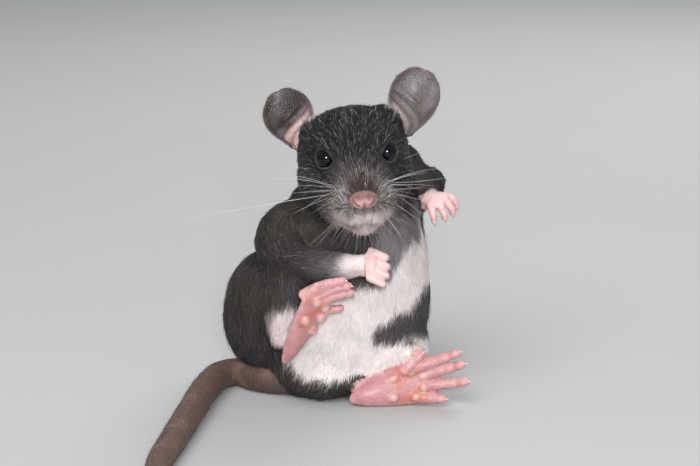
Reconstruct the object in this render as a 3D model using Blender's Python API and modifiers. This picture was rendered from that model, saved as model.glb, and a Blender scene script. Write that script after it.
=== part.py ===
"""A life-size still model of a young pet rat that sits on its rump and leans back.

The rat faces -Y, +Z is up and +X is its left side. Every size below is in millimetres,
and the last step scales the finished solids to metres and stands them over the origin.
"""

import math

import bmesh
import bpy
from mathutils import Matrix, Vector
from mathutils.bvhtree import BVHTree

MM = 0.001
GAP = 0.4

# Skull, muzzle and jaw are placed in the head's own frame: x to the rat's left,
# y back from the nose tip, z up from the line that runs from the nose to the nape.
NOSE_TIP = Vector((3.7, -34.5, 61.0))
HEAD_ROLL = math.radians(5.0)
HEAD_PITCH = math.radians(10.0)
HEAD_YAW = math.radians(5.5)
HEAD_LENGTH = 40.0

# Eyes
EYE_RADIUS = 2.9
EYE_PLACE = Vector((8.1, 16.2, 6.6))
EYE_GAZE = Vector((0.56, -0.78, 0.28))
LID_THICKNESS = 0.85
LID_OPENING = (2.9, 2.5)

# Ears
EAR_LENGTH = 20.0
EAR_WIDTH = 14.8
EAR_THICKNESS = 0.8
EAR_ROWS, EAR_COLUMNS = 10, 10

# Digits
FINGER_RADIUS = 1.0
CLAW_RADIUS = 0.42
CLAW_LENGTH = 1.9

# Tail
TAIL_ROOT_RADIUS = 4.0
FLOOR_FLAT = 0.35

FUR_DARK = (0.055, 0.052, 0.05, 1.0)
SKIN_PINK = (0.72, 0.42, 0.40, 1.0)
SKIN_TAIL = (0.27, 0.19, 0.16, 1.0)
SKIN_EAR = (0.32, 0.24, 0.23, 1.0)
EYE_BLACK = (0.008, 0.007, 0.012, 1.0)


def head_matrix():
    """The matrix that carries the head's own frame to the model's."""
    turn = (
        Matrix.Rotation(HEAD_YAW, 4, "Z")
        @ Matrix.Rotation(HEAD_PITCH, 4, "X")
        @ Matrix.Rotation(-HEAD_ROLL, 4, "Y")
    )
    return Matrix.Translation(NOSE_TIP) @ turn


def clear_scene():
    """Removes whatever the scene holds at the start."""
    for obj in list(bpy.data.objects):
        bpy.data.objects.remove(obj)


def new_object(name, mesh, collection):
    """Links a mesh as a named object."""
    obj = bpy.data.objects.new(name, mesh)
    collection.objects.link(obj)
    return obj


def finish_bmesh(made, name, collection):
    """Turns a bmesh into a named object with its faces pointing out."""
    bmesh.ops.recalc_face_normals(made, faces=made.faces)
    mesh = bpy.data.meshes.new(name)
    made.to_mesh(mesh)
    made.free()
    return new_object(name, mesh, collection)


def evaluated_mesh(obj):
    """The mesh of an object after its modifiers."""
    bpy.context.view_layer.update()
    graph = bpy.context.evaluated_depsgraph_get()
    return bpy.data.meshes.new_from_object(obj.evaluated_get(graph))


def apply_modifiers(obj):
    """Replaces an object's mesh by what its modifiers make of it."""
    mesh = evaluated_mesh(obj)
    obj.modifiers.clear()
    obj.data = mesh
    return obj


def smooth_curve(points, values, per_span=5):
    """Points and values read along one Catmull-Rom curve through the given ones."""
    rows = [Vector((*p, v)) for p, v in zip(points, values)]
    rows = [2 * rows[0] - rows[1], *rows, 2 * rows[-1] - rows[-2]]
    found = []
    for i in range(1, len(rows) - 2):
        a, b, c, d = rows[i - 1 : i + 3]
        steps = per_span if i < len(rows) - 3 else per_span + 1
        for k in range(steps):
            t = k / per_span
            found.append(
                0.5
                * (
                    2 * b
                    + (c - a) * t
                    + (2 * a - 5 * b + 4 * c - d) * t**2
                    + (3 * b - a - 3 * c + d) * t**3
                )
            )
    return [r.xyz for r in found], [r.w for r in found]


class Shapes:
    """Collects the closed shapes that one node is fused from."""

    def __init__(self, name, frame=None):
        self.name = name
        self.frame = frame or Matrix.Identity(4)
        self.collection = bpy.data.collections.new(name + "_shapes")
        bpy.context.scene.collection.children.link(self.collection)

    def blob(self, centre, radii, turn=None, detail=3):
        """An ellipsoid, turned by a matrix if one is given."""
        made = bmesh.new()
        place = Matrix.Translation(Vector(centre)) @ (turn or Matrix.Identity(4))
        scale = Matrix.Diagonal((*radii, 1.0))
        bmesh.ops.create_icosphere(
            made, subdivisions=detail, radius=1.0, matrix=self.frame @ place @ scale
        )
        return finish_bmesh(made, self.name + "_blob", self.collection)

    def tube(self, points, radii, per_span=5, resolution=3):
        """A tapering tube along a smooth curve, with a rounded far end."""
        line, sizes = smooth_curve([Vector(p) for p in points], radii, per_span)
        data = bpy.data.curves.new(self.name + "_tube", "CURVE")
        data.dimensions = "3D"
        data.bevel_depth = 1.0
        data.bevel_resolution = resolution
        data.use_fill_caps = True
        spline = data.splines.new("POLY")
        spline.points.add(len(line) - 1)
        for point, place, size in zip(spline.points, line, sizes):
            point.co = (*(self.frame @ place), 1.0)
            point.radius = size
        curve = new_object(self.name + "_curve", data, self.collection)
        mesh = evaluated_mesh(curve)
        bpy.data.objects.remove(curve)
        made = bmesh.new()
        made.from_mesh(mesh)
        bmesh.ops.remove_doubles(made, verts=made.verts, dist=0.001)
        tube = finish_bmesh(made, self.name + "_tube", self.collection)
        for place, size in ((line[0], sizes[0]), (line[-1], sizes[-1])):
            self.blob(place, (size, size, size), detail=2)
        return tube

    def loft(self, stations, sides=28):
        """A closed skin over oval sections. A station is centre, half width, rise,
        drop and the two directions that the section spans."""
        made = bmesh.new()
        rings = []
        for centre, half_width, rise, drop, across, up in stations:
            ring = []
            for k in range(sides):
                angle = 2 * math.pi * k / sides
                height = (rise if math.sin(angle) > 0 else drop) * math.sin(angle)
                point = (
                    Vector(centre)
                    + Vector(across) * (half_width * math.cos(angle))
                    + Vector(up) * height
                )
                ring.append(made.verts.new(self.frame @ point))
            rings.append(ring)
        for first, second in zip(rings, rings[1:]):
            for k in range(sides):
                nxt = (k + 1) % sides
                made.faces.new((first[k], first[nxt], second[nxt], second[k]))
        made.faces.new(rings[0])
        made.faces.new(reversed(rings[-1]))
        return finish_bmesh(made, self.name + "_loft", self.collection)

    def fuse(self, voxel, passes, triangles, colour, roughness=0.7):
        """Fuses the shapes into one smooth closed node of about that many triangles."""
        joined = bmesh.new()
        for obj in self.collection.objects:
            joined.from_mesh(obj.data)
        for obj in list(self.collection.objects):
            bpy.data.objects.remove(obj)
        bpy.data.collections.remove(self.collection)
        mesh = bpy.data.meshes.new(self.name)
        joined.to_mesh(mesh)
        joined.free()
        node = new_object(self.name, mesh, NODES)
        remesh = node.modifiers.new("fuse", "REMESH")
        remesh.mode = "VOXEL"
        remesh.voxel_size = voxel
        smooth = node.modifiers.new("smooth", "SMOOTH")
        smooth.factor = 0.5
        smooth.iterations = passes
        apply_modifiers(node)
        thin_out(node, triangles)
        paint(node, colour, roughness)
        return node


def thin_out(node, triangles):
    """Collapses a node's mesh to about that many triangles."""
    faces = sum(len(f.vertices) - 2 for f in node.data.polygons)
    thin = node.modifiers.new("thin", "DECIMATE")
    thin.ratio = min(1.0, triangles / faces)
    thin.use_collapse_triangulate = True
    apply_modifiers(node)


def paint(node, colour, roughness):
    """Gives a node its own material."""
    material = bpy.data.materials.new(node.name)
    material.use_nodes = True
    shader = material.node_tree.nodes["Principled BSDF"]
    shader.inputs["Base Color"].default_value = colour
    shader.inputs["Roughness"].default_value = roughness
    shader.inputs["Metallic"].default_value = 0.0
    node.data.materials.clear()
    node.data.materials.append(material)
    node.data.shade_smooth()


def keep_largest(node):
    """Keeps only the largest closed surface of a node."""
    made = bmesh.new()
    made.from_mesh(node.data)
    left, shells = set(made.verts), []
    while left:
        start = left.pop()
        shell, edge = {start}, [start]
        while edge:
            for link in edge.pop().link_edges:
                for vert in link.verts:
                    if vert in left:
                        left.remove(vert)
                        shell.add(vert)
                        edge.append(vert)
        shells.append(shell)
    largest = max(shells, key=len)
    loose = [v for v in made.verts if v not in largest]
    bmesh.ops.delete(made, geom=loose, context="VERTS")
    made.to_mesh(node.data)
    made.free()


def boolean(node, cutters, operation="DIFFERENCE"):
    """Cuts or joins a node by closed objects, and removes them."""
    group = bpy.data.collections.new("cutters")
    bpy.context.scene.collection.children.link(group)
    for cutter in cutters:
        for home in list(cutter.users_collection):
            home.objects.unlink(cutter)
        group.objects.link(cutter)
    modifier = node.modifiers.new("boolean", "BOOLEAN")
    modifier.operation = operation
    modifier.operand_type = "COLLECTION"
    modifier.collection = group
    modifier.solver = "EXACT"
    apply_modifiers(node)
    for cutter in cutters:
        bpy.data.objects.remove(cutter)
    bpy.data.collections.remove(group)
    keep_largest(node)
    return node


def swollen(node, by):
    """A plainer copy of a node whose surface stands out by that much."""
    copy = new_object(node.name + "_swollen", node.data.copy(), HELPERS)
    swell = copy.modifiers.new("swell", "DISPLACE")
    swell.mid_level = 0.0
    swell.strength = by
    plain = copy.modifiers.new("plain", "DECIMATE")
    plain.ratio = min(1.0, 1400 / len(node.data.polygons))
    return apply_modifiers(copy)


def carve(node, *neighbours):
    """Cuts a node clear of its neighbours by the gap."""
    for neighbour in neighbours:
        boolean(node, [swollen(neighbour, GAP)])
    return node


def helper(name, build):
    """A helper mesh made by a bmesh operator."""
    made = bmesh.new()
    build(made)
    return finish_bmesh(made, name, HELPERS)


def flatten_below(node, level=0.0):
    """Cuts a node off flat at the floor."""
    side, depth = 400.0, 60.0
    place = Matrix.Translation((0.0, 0.0, level - depth / 2))
    size = Matrix.Diagonal((side, side, depth, 1.0))

    def build(made):
        bmesh.ops.create_cube(made, size=1.0, matrix=place @ size)

    return boolean(node, [helper("floor", build)])


def aim(direction, up=(0.0, 0.0, 1.0)):
    """A turn whose z axis points along a direction and whose y axis leans to up."""
    z = Vector(direction).normalized()
    x = Vector(up).cross(z).normalized()
    y = z.cross(x)
    return Matrix((x, y, z)).transposed().to_4x4()


def make_torso():
    """The chest, belly and rump, upright on the floor and curved forward."""
    torso = Shapes("torso")
    across, back = (1.0, 0.0, 0.0), (0.0, 1.0, 0.0)
    stations = (
        ((-6.0, -3.0, -1.5), 15.0, 14.0, 13.0),
        ((-5.0, -2.5, 4.0), 21.5, 19.0, 17.0),
        ((-3.5, -1.5, 12.0), 24.5, 21.5, 18.5),
        ((-2.0, -0.5, 22.0), 25.0, 22.5, 19.5),
        ((-0.5, 0.0, 32.0), 23.8, 22.0, 19.0),
        ((0.2, 1.0, 41.0), 21.8, 20.0, 16.5),
        ((0.7, 2.5, 48.5), 19.0, 17.0, 14.5),
        ((1.0, 3.5, 54.0), 16.4, 14.0, 12.5),
        ((2.0, 3.5, 58.0), 10.0, 10.0, 9.0),
    )
    torso.loft([(c, w, r, d, across, back) for c, w, r, d in stations], sides=32)
    # The breast between the arms, the shoulder blades and the folds by the hips.
    torso.blob((5.5, -7.0, 42.0), (13.5, 9.5, 13.0))
    torso.blob((-10.0, 9.0, 46.0), (9.0, 9.5, 12.0))
    torso.blob((13.0, 8.0, 46.0), (8.5, 9.5, 12.0))
    torso.blob((-6.5, -9.5, 6.6), (16.0, 12.5, 9.0))
    return torso.fuse(1.3, 10, 1200, FUR_DARK)


def make_neck():
    """The short thick neck between the shoulders and the skull."""
    neck = Shapes("neck")
    neck.tube(
        [(1.0, 4.5, 50.0), (0.2, 1.0, 60.0), (-0.4, -4.0, 68.0)],
        [15.5, 15.0, 13.0],
        resolution=6,
    )
    neck.blob((2.0, -7.0, 55.5), (11.5, 8.5, 7.0))
    neck.blob((-0.5, 4.5, 64.5), (13.0, 9.5, 10.5))
    return neck.fuse(1.2, 8, 500, FUR_DARK)


def make_head():
    """The skull with muzzle, whisker pads, lips, chin, cheeks and lids."""
    head = Shapes("head", head_matrix())
    across, up = (1.0, 0.0, 0.0), (0.0, 0.0, 1.0)
    stations = (
        (0.6, 0.0, 2.4, 1.7, 1.9),
        (2.2, 0.0, 3.8, 2.8, 3.0),
        (5.0, 0.2, 5.6, 4.3, 5.4),
        (9.0, 0.6, 7.7, 6.4, 8.4),
        (13.0, 1.0, 9.9, 8.9, 10.2),
        (17.5, 1.4, 12.3, 11.6, 11.6),
        (22.5, 1.8, 14.4, 13.4, 12.4),
        (28.0, 1.8, 15.6, 14.4, 12.8),
        (33.0, 1.2, 15.4, 13.6, 12.8),
        (37.5, 0.0, 13.2, 10.8, 11.2),
        (HEAD_LENGTH, -0.8, 9.0, 7.0, 7.0),
    )
    head.loft([((0.0, y, z), w, r, d, across, up) for y, z, w, r, d in stations])
    head.blob((0.0, 1.0, 0.2), (2.5, 1.9, 1.9))
    for side in (-1.0, 1.0):
        head.blob((4.5 * side, 6.8, -2.3), (4.4, 5.3, 4.4))
        head.blob((2.2 * side, 5.4, -5.2), (2.6, 3.6, 2.5))
        head.blob((6.2 * side, 16.5, -5.8), (5.6, 9.0, 5.8))
        head.blob((9.4 * side, 25.0, -3.2), (6.8, 10.5, 9.0))
        head.blob((9.8 * side, 30.0, 7.2), (4.9, 5.4, 5.0))
        head.blob((7.2 * side, 20.5, 7.2), (3.8, 5.0, 4.0))
        place = Vector((EYE_PLACE.x * side, EYE_PLACE.y, EYE_PLACE.z))
        lid = EYE_RADIUS + LID_THICKNESS
        head.blob(place, (lid, lid, lid))
    head.blob((0.0, 8.6, -8.7), (3.4, 4.6, 2.9))
    head.blob((0.0, 14.5, -9.0), (6.2, 7.6, 4.0))
    node = head.fuse(0.6, 4, 2500, FUR_DARK)
    cut_eye_openings(node)
    cut_nostrils_and_mouth(node)
    return node


def cut_eye_openings(head):
    """Cuts each eye's socket and the almond between its lids."""
    frame = head_matrix()
    cutters = []
    for side in (-1.0, 1.0):
        place = Vector((EYE_PLACE.x * side, EYE_PLACE.y, EYE_PLACE.z))
        gaze = Vector((EYE_GAZE.x * side, EYE_GAZE.y, EYE_GAZE.z))
        socket = EYE_RADIUS + GAP
        turn = aim(gaze)
        half_long, half_high = LID_OPENING
        reach = 4.0

        def build_socket(made, place=place, socket=socket):
            bmesh.ops.create_uvsphere(
                made,
                u_segments=14,
                v_segments=8,
                radius=socket,
                matrix=frame @ Matrix.Translation(place),
            )

        def build_opening(made, place=place, turn=turn):
            along = Matrix.Translation((0.0, 0.0, reach / 2 + 0.6))
            shape = Matrix.Diagonal((half_long, half_high, 1.0, 1.0))
            bmesh.ops.create_cone(
                made,
                cap_ends=True,
                segments=16,
                radius1=0.86,
                radius2=1.25,
                depth=reach,
                matrix=frame @ Matrix.Translation(place) @ turn @ along @ shape,
            )

        cutters.append(helper("lid_opening", build_opening))
        cutters.append(helper("socket", build_socket))
    for cutter in cutters:
        boolean(head, [cutter])


def cut_nostrils_and_mouth(head):
    """Cuts the nostrils, the cleft under the nose and the line of the mouth."""
    frame = head_matrix()
    surface = BVHTree.FromObject(head, bpy.context.evaluated_depsgraph_get())

    def on_skin(point):
        return surface.find_nearest(frame @ Vector(point))[0]

    lines = []
    for side in (-1.0, 1.0):
        lines.append(
            ([(0.9 * side, -0.8, -0.1), (1.7 * side, -0.3, 0.0), (2.4 * side, 0.8, 0.7)], [0.42, 0.42, 0.2])
        )
    lines.append(([(0.0, -0.6, -1.0), (0.0, 1.0, -3.0), (0.0, 3.0, -5.2)], [0.28, 0.32, 0.34]))
    mouth = [(-5.8, 11.0, -6.2), (-3.6, 8.0, -7.2), (0.0, 5.6, -7.2), (3.6, 8.0, -7.2), (5.8, 11.0, -6.2)]
    lines.append((mouth, [0.22, 0.34, 0.36, 0.34, 0.22]))
    for points, radii in lines:
        line, sizes = smooth_curve([Vector(p) for p in points], radii, 4)
        line = [on_skin(p) for p in line]
        made = bmesh.new()
        rings = []
        for i, (place, size) in enumerate(zip(line, sizes)):
            ahead = line[min(i + 1, len(line) - 1)] - line[max(i - 1, 0)]
            turn = aim(ahead, (0.2, 0.9, 0.3)).to_3x3()
            rings.append(
                [
                    made.verts.new(
                        place
                        + turn
                        @ Vector(
                            (size * math.cos(k * math.pi / 3), size * math.sin(k * math.pi / 3), 0.0)
                        )
                    )
                    for k in range(6)
                ]
            )
        for first, second in zip(rings, rings[1:]):
            for k in range(6):
                nxt = (k + 1) % 6
                made.faces.new((first[k], first[nxt], second[nxt], second[k]))
        made.faces.new(rings[0])
        made.faces.new(reversed(rings[-1]))
        cutter = finish_bmesh(made, "groove", HELPERS)
        boolean(head, [cutter])


def make_eye(side, name):
    """One round black eye in its socket."""
    place = Vector((EYE_PLACE.x * side, EYE_PLACE.y, EYE_PLACE.z))

    def build(made):
        bmesh.ops.create_uvsphere(
            made,
            u_segments=16,
            v_segments=10,
            radius=EYE_RADIUS,
            matrix=head_matrix() @ Matrix.Translation(place),
        )

    eye = helper(name, build)
    HELPERS.objects.unlink(eye)
    NODES.objects.link(eye)
    paint(eye, EYE_BLACK, 0.06)
    return eye


def make_ear(name, root, long_axis, facing, head):
    """One ear: a thin sheet rolled into a cup, open towards its facing side."""
    grow = Vector(long_axis).normalized()
    face = Vector(facing)
    face = (face - grow * face.dot(grow)).normalized()
    across = grow.cross(face)
    made = bmesh.new()
    rows = []
    for i in range(EAR_ROWS + 1):
        along = i / EAR_ROWS
        # Half the sheet's width: a broad stalk that opens to a disc and closes at the tip.
        rise = min(1.0, along / 0.52)
        fall = max(0.0, (along - 0.52) / 0.48)
        share = (0.76 + 0.24 * math.sin(0.5 * math.pi * rise)) * math.sqrt(1.0 - fall**2.3 * 0.985)
        half = 0.5 * EAR_WIDTH * share
        roll = math.radians(24.0 + 92.0 * (1.0 - along) ** 2.2)
        radius = half / roll
        spine = grow * (EAR_LENGTH * along) - face * (2.6 * math.sin(math.pi * along))
        row = []
        for k in range(EAR_COLUMNS + 1):
            angle = roll * (2.0 * k / EAR_COLUMNS - 1.0)
            point = (
                spine
                + across * (radius * math.sin(angle))
                + face * (radius * (1.0 - math.cos(angle)))
            )
            row.append(made.verts.new(Vector(root) + point))
        rows.append(row)
    for first, second in zip(rows, rows[1:]):
        for k in range(EAR_COLUMNS):
            made.faces.new((first[k], first[k + 1], second[k + 1], second[k]))
    mesh = bpy.data.meshes.new(name)
    bmesh.ops.recalc_face_normals(made, faces=made.faces)
    made.to_mesh(mesh)
    made.free()
    ear = new_object(name, mesh, NODES)
    wall = ear.modifiers.new("wall", "SOLIDIFY")
    wall.thickness = EAR_THICKNESS
    wall.offset = 0.0
    apply_modifiers(ear)
    carve(ear, head)
    paint(ear, SKIN_EAR, 0.45)
    return ear


def bent_digit(shapes, root, ahead, curl, lengths, bends, radius):
    """A digit of jointed lengths that bends towards the curl direction.
    Returns its tip and the way that the tip points."""
    way = Vector(ahead).normalized()
    inward = Vector(curl)
    inward = (inward - way * inward.dot(way)).normalized()
    axis = way.cross(inward)
    points, place = [Vector(root)], Vector(root)
    for length, bend in zip(lengths, bends):
        way = Matrix.Rotation(math.radians(bend), 3, axis) @ way
        place = place + way * length
        points.append(place)
    radii = [radius * 1.05, *[radius * (1.0 - 0.09 * k) for k in range(len(lengths))]]
    shapes.tube(points, radii, per_span=3, resolution=2)
    # The round pad under the tip of the digit.
    inward = Matrix.Rotation(math.radians(sum(bends)), 3, axis) @ inward
    pad = radius * 0.95
    shapes.blob(place - way * 0.5 * radius + inward * 0.25 * radius, (pad, pad, pad), detail=2)
    return place, way, inward


def claw(tip, way, inward, radius):
    """A small tapering claw that curves towards the pad."""
    start = Vector(tip) - way * 0.6
    points = [
        start,
        start + way * (0.6 + 0.55 * CLAW_LENGTH) + inward * 0.05,
        start + way * (0.6 + CLAW_LENGTH) + inward * 0.45,
    ]
    radii = [radius, radius * 0.75, radius * 0.22]
    made = bmesh.new()
    rings = []
    turn = aim(way, inward).to_3x3()
    sides = 5
    for place, size in zip(points, radii):
        rings.append(
            [
                made.verts.new(
                    place
                    + turn
                    @ Vector(
                        (
                            size * math.cos(2 * math.pi * k / sides),
                            size * math.sin(2 * math.pi * k / sides),
                            0.0,
                        )
                    )
                )
                for k in range(sides)
            ]
        )
    for first, second in zip(rings, rings[1:]):
        for k in range(sides):
            nxt = (k + 1) % sides
            made.faces.new((first[k], first[nxt], second[nxt], second[k]))
    made.faces.new(rings[0])
    made.faces.new(reversed(rings[-1]))
    return finish_bmesh(made, "claw", HELPERS)


# Each toe: where its root lies along and across the foot, how far it turns inwards in
# degrees, how far it stands before the sole, and the lengths of its joints.
RIGHT_TOES = (
    (0.76, 0.34, 57.0, 0.3, (2.7, 2.3)),
    (0.95, 0.15, 52.0, 0.2, (3.3, 2.7, 1.9)),
    (1.00, -0.04, 48.0, -0.3, (3.6, 2.8, 2.0)),
    (1.03, -0.21, 44.0, -0.9, (3.5, 2.8, 2.0)),
    (0.96, -0.34, 38.0, -1.6, (3.0, 2.4, 1.7)),
)
LEFT_TOES = (
    (0.78, 0.36, 26.0, 2.4, (3.6, 3.0)),
    (1.00, 0.32, 6.0, 1.3, (4.6, 3.8, 3.0)),
    (1.08, 0.11, 2.0, 0.5, (4.4, 3.4, 2.6)),
    (1.06, -0.14, -8.0, 0.0, (4.4, 3.5, 2.8)),
    (0.92, -0.36, -18.0, 0.0, (2.4, 2.0, 1.6)),
)
# Each pad: where it lies along and across the foot.
RIGHT_PADS = ((0.58, -0.16), (0.47, 0.26), (0.92, -0.08), (0.86, 0.26), (0.68, 0.32))
LEFT_PADS = ((0.55, 0.20), (0.48, -0.20), (0.84, 0.25), (1.00, 0.10), (0.98, -0.14), (0.82, -0.31))


def make_foot(name, heel, ball, sole, width, bends, toes, pads, toe_radius):
    """A hind foot: a narrow heel, a broad ball with pads, and five toes with claws."""
    heel, ball = Vector(heel), Vector(ball)
    ahead = (ball - heel).normalized()
    under = Vector(sole)
    under = (under - ahead * under.dot(ahead)).normalized()
    inner = under.cross(ahead) if name.endswith("left") else ahead.cross(under)
    length = (ball - heel).length
    foot = Shapes(name)
    stations = []
    for share, half, rise, drop in (
        (-0.10, 0.26, 1.5, 1.3),
        (0.0, 0.34, 2.6, 2.0),
        (0.25, 0.35, 2.9, 2.0),
        (0.55, 0.39, 2.5, 1.7),
        (0.80, 0.47, 2.3, 1.6),
        (1.00, 0.49, 2.0, 1.5),
        (1.12, 0.42, 1.5, 1.2),
    ):
        centre = heel + ahead * (length * share)
        stations.append((centre, half * width, rise, drop, inner, -under))
    foot.loft(stations, sides=20)
    # Pads on the heel and at the roots of the toes.
    for along, aside in pads:
        place = heel + ahead * (length * along) + inner * (width * aside) + under * 1.2
        foot.blob(place, (1.3, 1.3, 1.3), detail=2)
    claws = []
    for along, aside, splay, forward, lengths in toes:
        root = heel + ahead * (length * along) + inner * (width * aside) + under * forward
        spread = math.radians(splay)
        way = ahead * math.cos(spread) + inner * math.sin(spread)
        tip, way, inward = bent_digit(
            foot, root - way * 1.2, way, under, (lengths[0] + 1.2, *lengths[1:]), bends, toe_radius
        )
        claws.append(claw(tip, way, inward, CLAW_RADIUS))
    ankle = heel - under * 2.0 + ahead * 1.0
    foot.tube(
        [heel - under * 1.0 + ahead * 1.5, ankle - under * 2.5, ankle - under * 5.0],
        [2.5, 2.9, 3.3],
    )
    node = foot.fuse(0.5, 2, 1000, SKIN_PINK, 0.5)
    return boolean(node, claws, "UNION")


def make_hand(name, wrist, knuckles, palm, width, bends, spread, triangles):
    """A forefoot: a short palm, four fingers with claws and a thumb stub."""
    wrist, knuckles = Vector(wrist), Vector(knuckles)
    ahead = (knuckles - wrist).normalized()
    under = Vector(palm)
    under = (under - ahead * under.dot(ahead)).normalized()
    inner = under.cross(ahead) if name.endswith("left") else ahead.cross(under)
    length = (knuckles - wrist).length
    hand = Shapes(name)
    stations = []
    for share, half, rise, drop in (
        (-0.30, 0.34, 2.0, 1.8),
        (0.0, 0.36, 2.0, 1.8),
        (0.45, 0.44, 2.0, 1.9),
        (0.85, 0.48, 1.8, 1.6),
        (1.10, 0.42, 1.3, 1.2),
    ):
        centre = wrist + ahead * (length * share)
        stations.append((centre, half * width, rise, drop, inner, -under))
    hand.loft(stations, sides=18)
    for along, aside in ((0.35, 0.28), (0.3, -0.28), (0.8, 0.26), (0.85, 0.0), (0.8, -0.28)):
        place = wrist + ahead * (length * along) + inner * (width * aside) + under * 1.3
        hand.blob(place, (1.1, 1.1, 1.1), detail=2)
    hand.blob(wrist + ahead * (length * 0.35) + inner * (width * 0.5), (1.1, 1.1, 1.1), detail=2)
    claws = []
    for k in range(4):
        across = 1.0 - 2.0 * k / 3.0
        root = wrist + ahead * (length * (1.0 - 0.12 * abs(across))) + inner * (
            width * 0.36 * across
        )
        turn = math.radians(spread * across)
        way = ahead * math.cos(turn) + inner * math.sin(turn)
        lengths = [2.6 - 0.4 * abs(across), 2.3 - 0.3 * abs(across), 1.8]
        tip, way, inward = bent_digit(
            hand, root - under * 0.2, way, under, lengths, bends, FINGER_RADIUS
        )
        claws.append(claw(tip, way, inward, CLAW_RADIUS * 0.85))
    node = hand.fuse(0.45, 2, triangles, SKIN_PINK, 0.5)
    return boolean(node, claws, "UNION")


def make_forelegs():
    """The right foreleg lies across the breast; the left one reaches out and up."""
    right = Shapes("foreleg_right")
    right.tube(
        [(-16.5, 3.0, 43.5), (-18.8, -5.0, 41.5), (-14.0, -15.0, 38.6)],
        [9.2, 8.2, 5.6],
    )
    right.tube(
        [(-15.0, -14.0, 39.0), (-8.5, -19.5, 39.4), (-2.0, -22.5, 40.6), (2.2, -24.0, 41.8)],
        [5.6, 4.9, 4.1, 3.1],
    )
    left = Shapes("foreleg_left")
    left.tube(
        [(12.0, 3.5, 49.5), (18.0, 6.0, 54.0), (22.3, 4.5, 57.5)],
        [8.0, 6.6, 4.8],
    )
    left.tube(
        [(22.5, 5.5, 57.0), (23.0, -0.5, 57.2), (22.8, -6.5, 55.6)],
        [4.8, 3.9, 2.9],
    )
    # The shoulder fills the hollow between the cheek and the raised wrist.
    left.blob((14.4, 1.0, 61.8), (6.4, 6.5, 7.6))
    left.blob((19.8, -0.5, 58.6), (5.0, 5.2, 5.2))
    return right.fuse(0.9, 5, 460, FUR_DARK), left.fuse(0.9, 5, 420, FUR_DARK)


def make_hind_legs():
    """The right hind leg is drawn up; the left one is folded flat on the floor."""
    right = Shapes("hind_leg_right")
    right.blob((-23.0, 0.5, 21.0), (13.4, 17.5, 18.5), Matrix.Rotation(0.1, 4, "Y"))
    right.tube(
        [(-21.0, 6.0, 20.0), (-21.0, -6.5, 27.0), (-16.5, -14.0, 32.5)],
        [13.5, 12.0, 8.0],
        resolution=5,
    )
    right.tube(
        [(-16.5, -14.0, 32.5), (-17.8, -17.8, 26.5), (-18.2, -20.5, 19.5)],
        [8.0, 6.6, 4.6],
    )
    left = Shapes("hind_leg_left")
    left.blob((10.8, 1.0, 12.5), (12.0, 14.0, 12.3))
    left.tube(
        [(8.5, 2.0, 13.0), (13.5, -7.0, 13.0), (15.5, -13.5, 12.0)],
        [11.5, 10.0, 7.3],
        resolution=5,
    )
    left.tube(
        [(15.0, -11.5, 10.5), (9.5, -14.0, 8.5), (5.0, -15.0, 6.2)],
        [7.3, 6.0, 4.4],
    )
    return right.fuse(1.0, 6, 700, FUR_DARK), left.fuse(1.0, 6, 520, FUR_DARK)


TAIL_LINE = (
    (-12.0, -10.5, 4.5),
    (-19.0, -11.0, 4.0),
    (-26.2, -8.1, 3.8),
    (-31.8, -3.6, 3.7),
    (-37.0, -7.0, 3.6),
    (-40.2, -18.0, 3.5),
    (-42.6, -34.7, 3.35),
    (-45.2, -53.0, 3.15),
    (-47.3, -70.3, 2.85),
    (-45.0, -85.0, 2.4),
    (-34.5, -94.5, 1.9),
    (-20.5, -97.0, 1.4),
    (-7.5, -92.5, 0.95),
)


def make_tail():
    """The bare tail in three lengths along one curve on the floor."""
    points = [Vector(p) for p in TAIL_LINE]
    radii = [min(p.z + FLOOR_FLAT, TAIL_ROOT_RADIUS) for p in points]
    line, sizes = smooth_curve(points, radii, 3)
    lengths = (("tail_root", 0, 14), ("tail_middle", 14, 25), ("tail_tip", 25, None))
    made = []
    for name, first, last in lengths:
        stop = len(line) if last is None else last + 1
        places, widths = line[first:stop], sizes[first:stop]
        data = bpy.data.curves.new(name, "CURVE")
        data.dimensions = "3D"
        data.bevel_depth = 1.0
        data.bevel_resolution = 3
        data.use_fill_caps = True
        spline = data.splines.new("POLY")
        spline.points.add(len(places) - 1)
        for k, (point, place, size) in enumerate(zip(spline.points, places, widths)):
            ahead = (places[min(k + 1, len(places) - 1)] - places[max(k - 1, 0)]).normalized()
            pull = 0.0
            if k == 0 and first:
                pull = GAP / 2
            if k == len(places) - 1 and last is not None:
                pull = -GAP / 2
            point.co = (*(place + ahead * pull), 1.0)
            point.radius = size
        curve = new_object(name + "_curve", data, HELPERS)
        mesh = evaluated_mesh(curve)
        bpy.data.objects.remove(curve)
        shape = bmesh.new()
        shape.from_mesh(mesh)
        bmesh.ops.remove_doubles(shape, verts=shape.verts, dist=0.001)
        node = finish_bmesh(shape, name, NODES)
        paint(node, SKIN_TAIL, 0.55)
        made.append(node)
    return made


def stand_over_origin(nodes):
    """Scales the nodes to metres and centres their common box over the origin."""
    low, high = Vector((1e9,) * 3), Vector((-1e9,) * 3)
    for node in nodes:
        for vertex in node.data.vertices:
            low = Vector(map(min, low, vertex.co))
            high = Vector(map(max, high, vertex.co))
    shift = Vector((-(low.x + high.x) / 2, -(low.y + high.y) / 2, -low.z))
    for node in nodes:
        node.data.transform(Matrix.Scale(MM, 4) @ Matrix.Translation(shift))


NODES = bpy.data.collections.new("rat")
HELPERS = bpy.data.collections.new("helpers")


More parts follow.
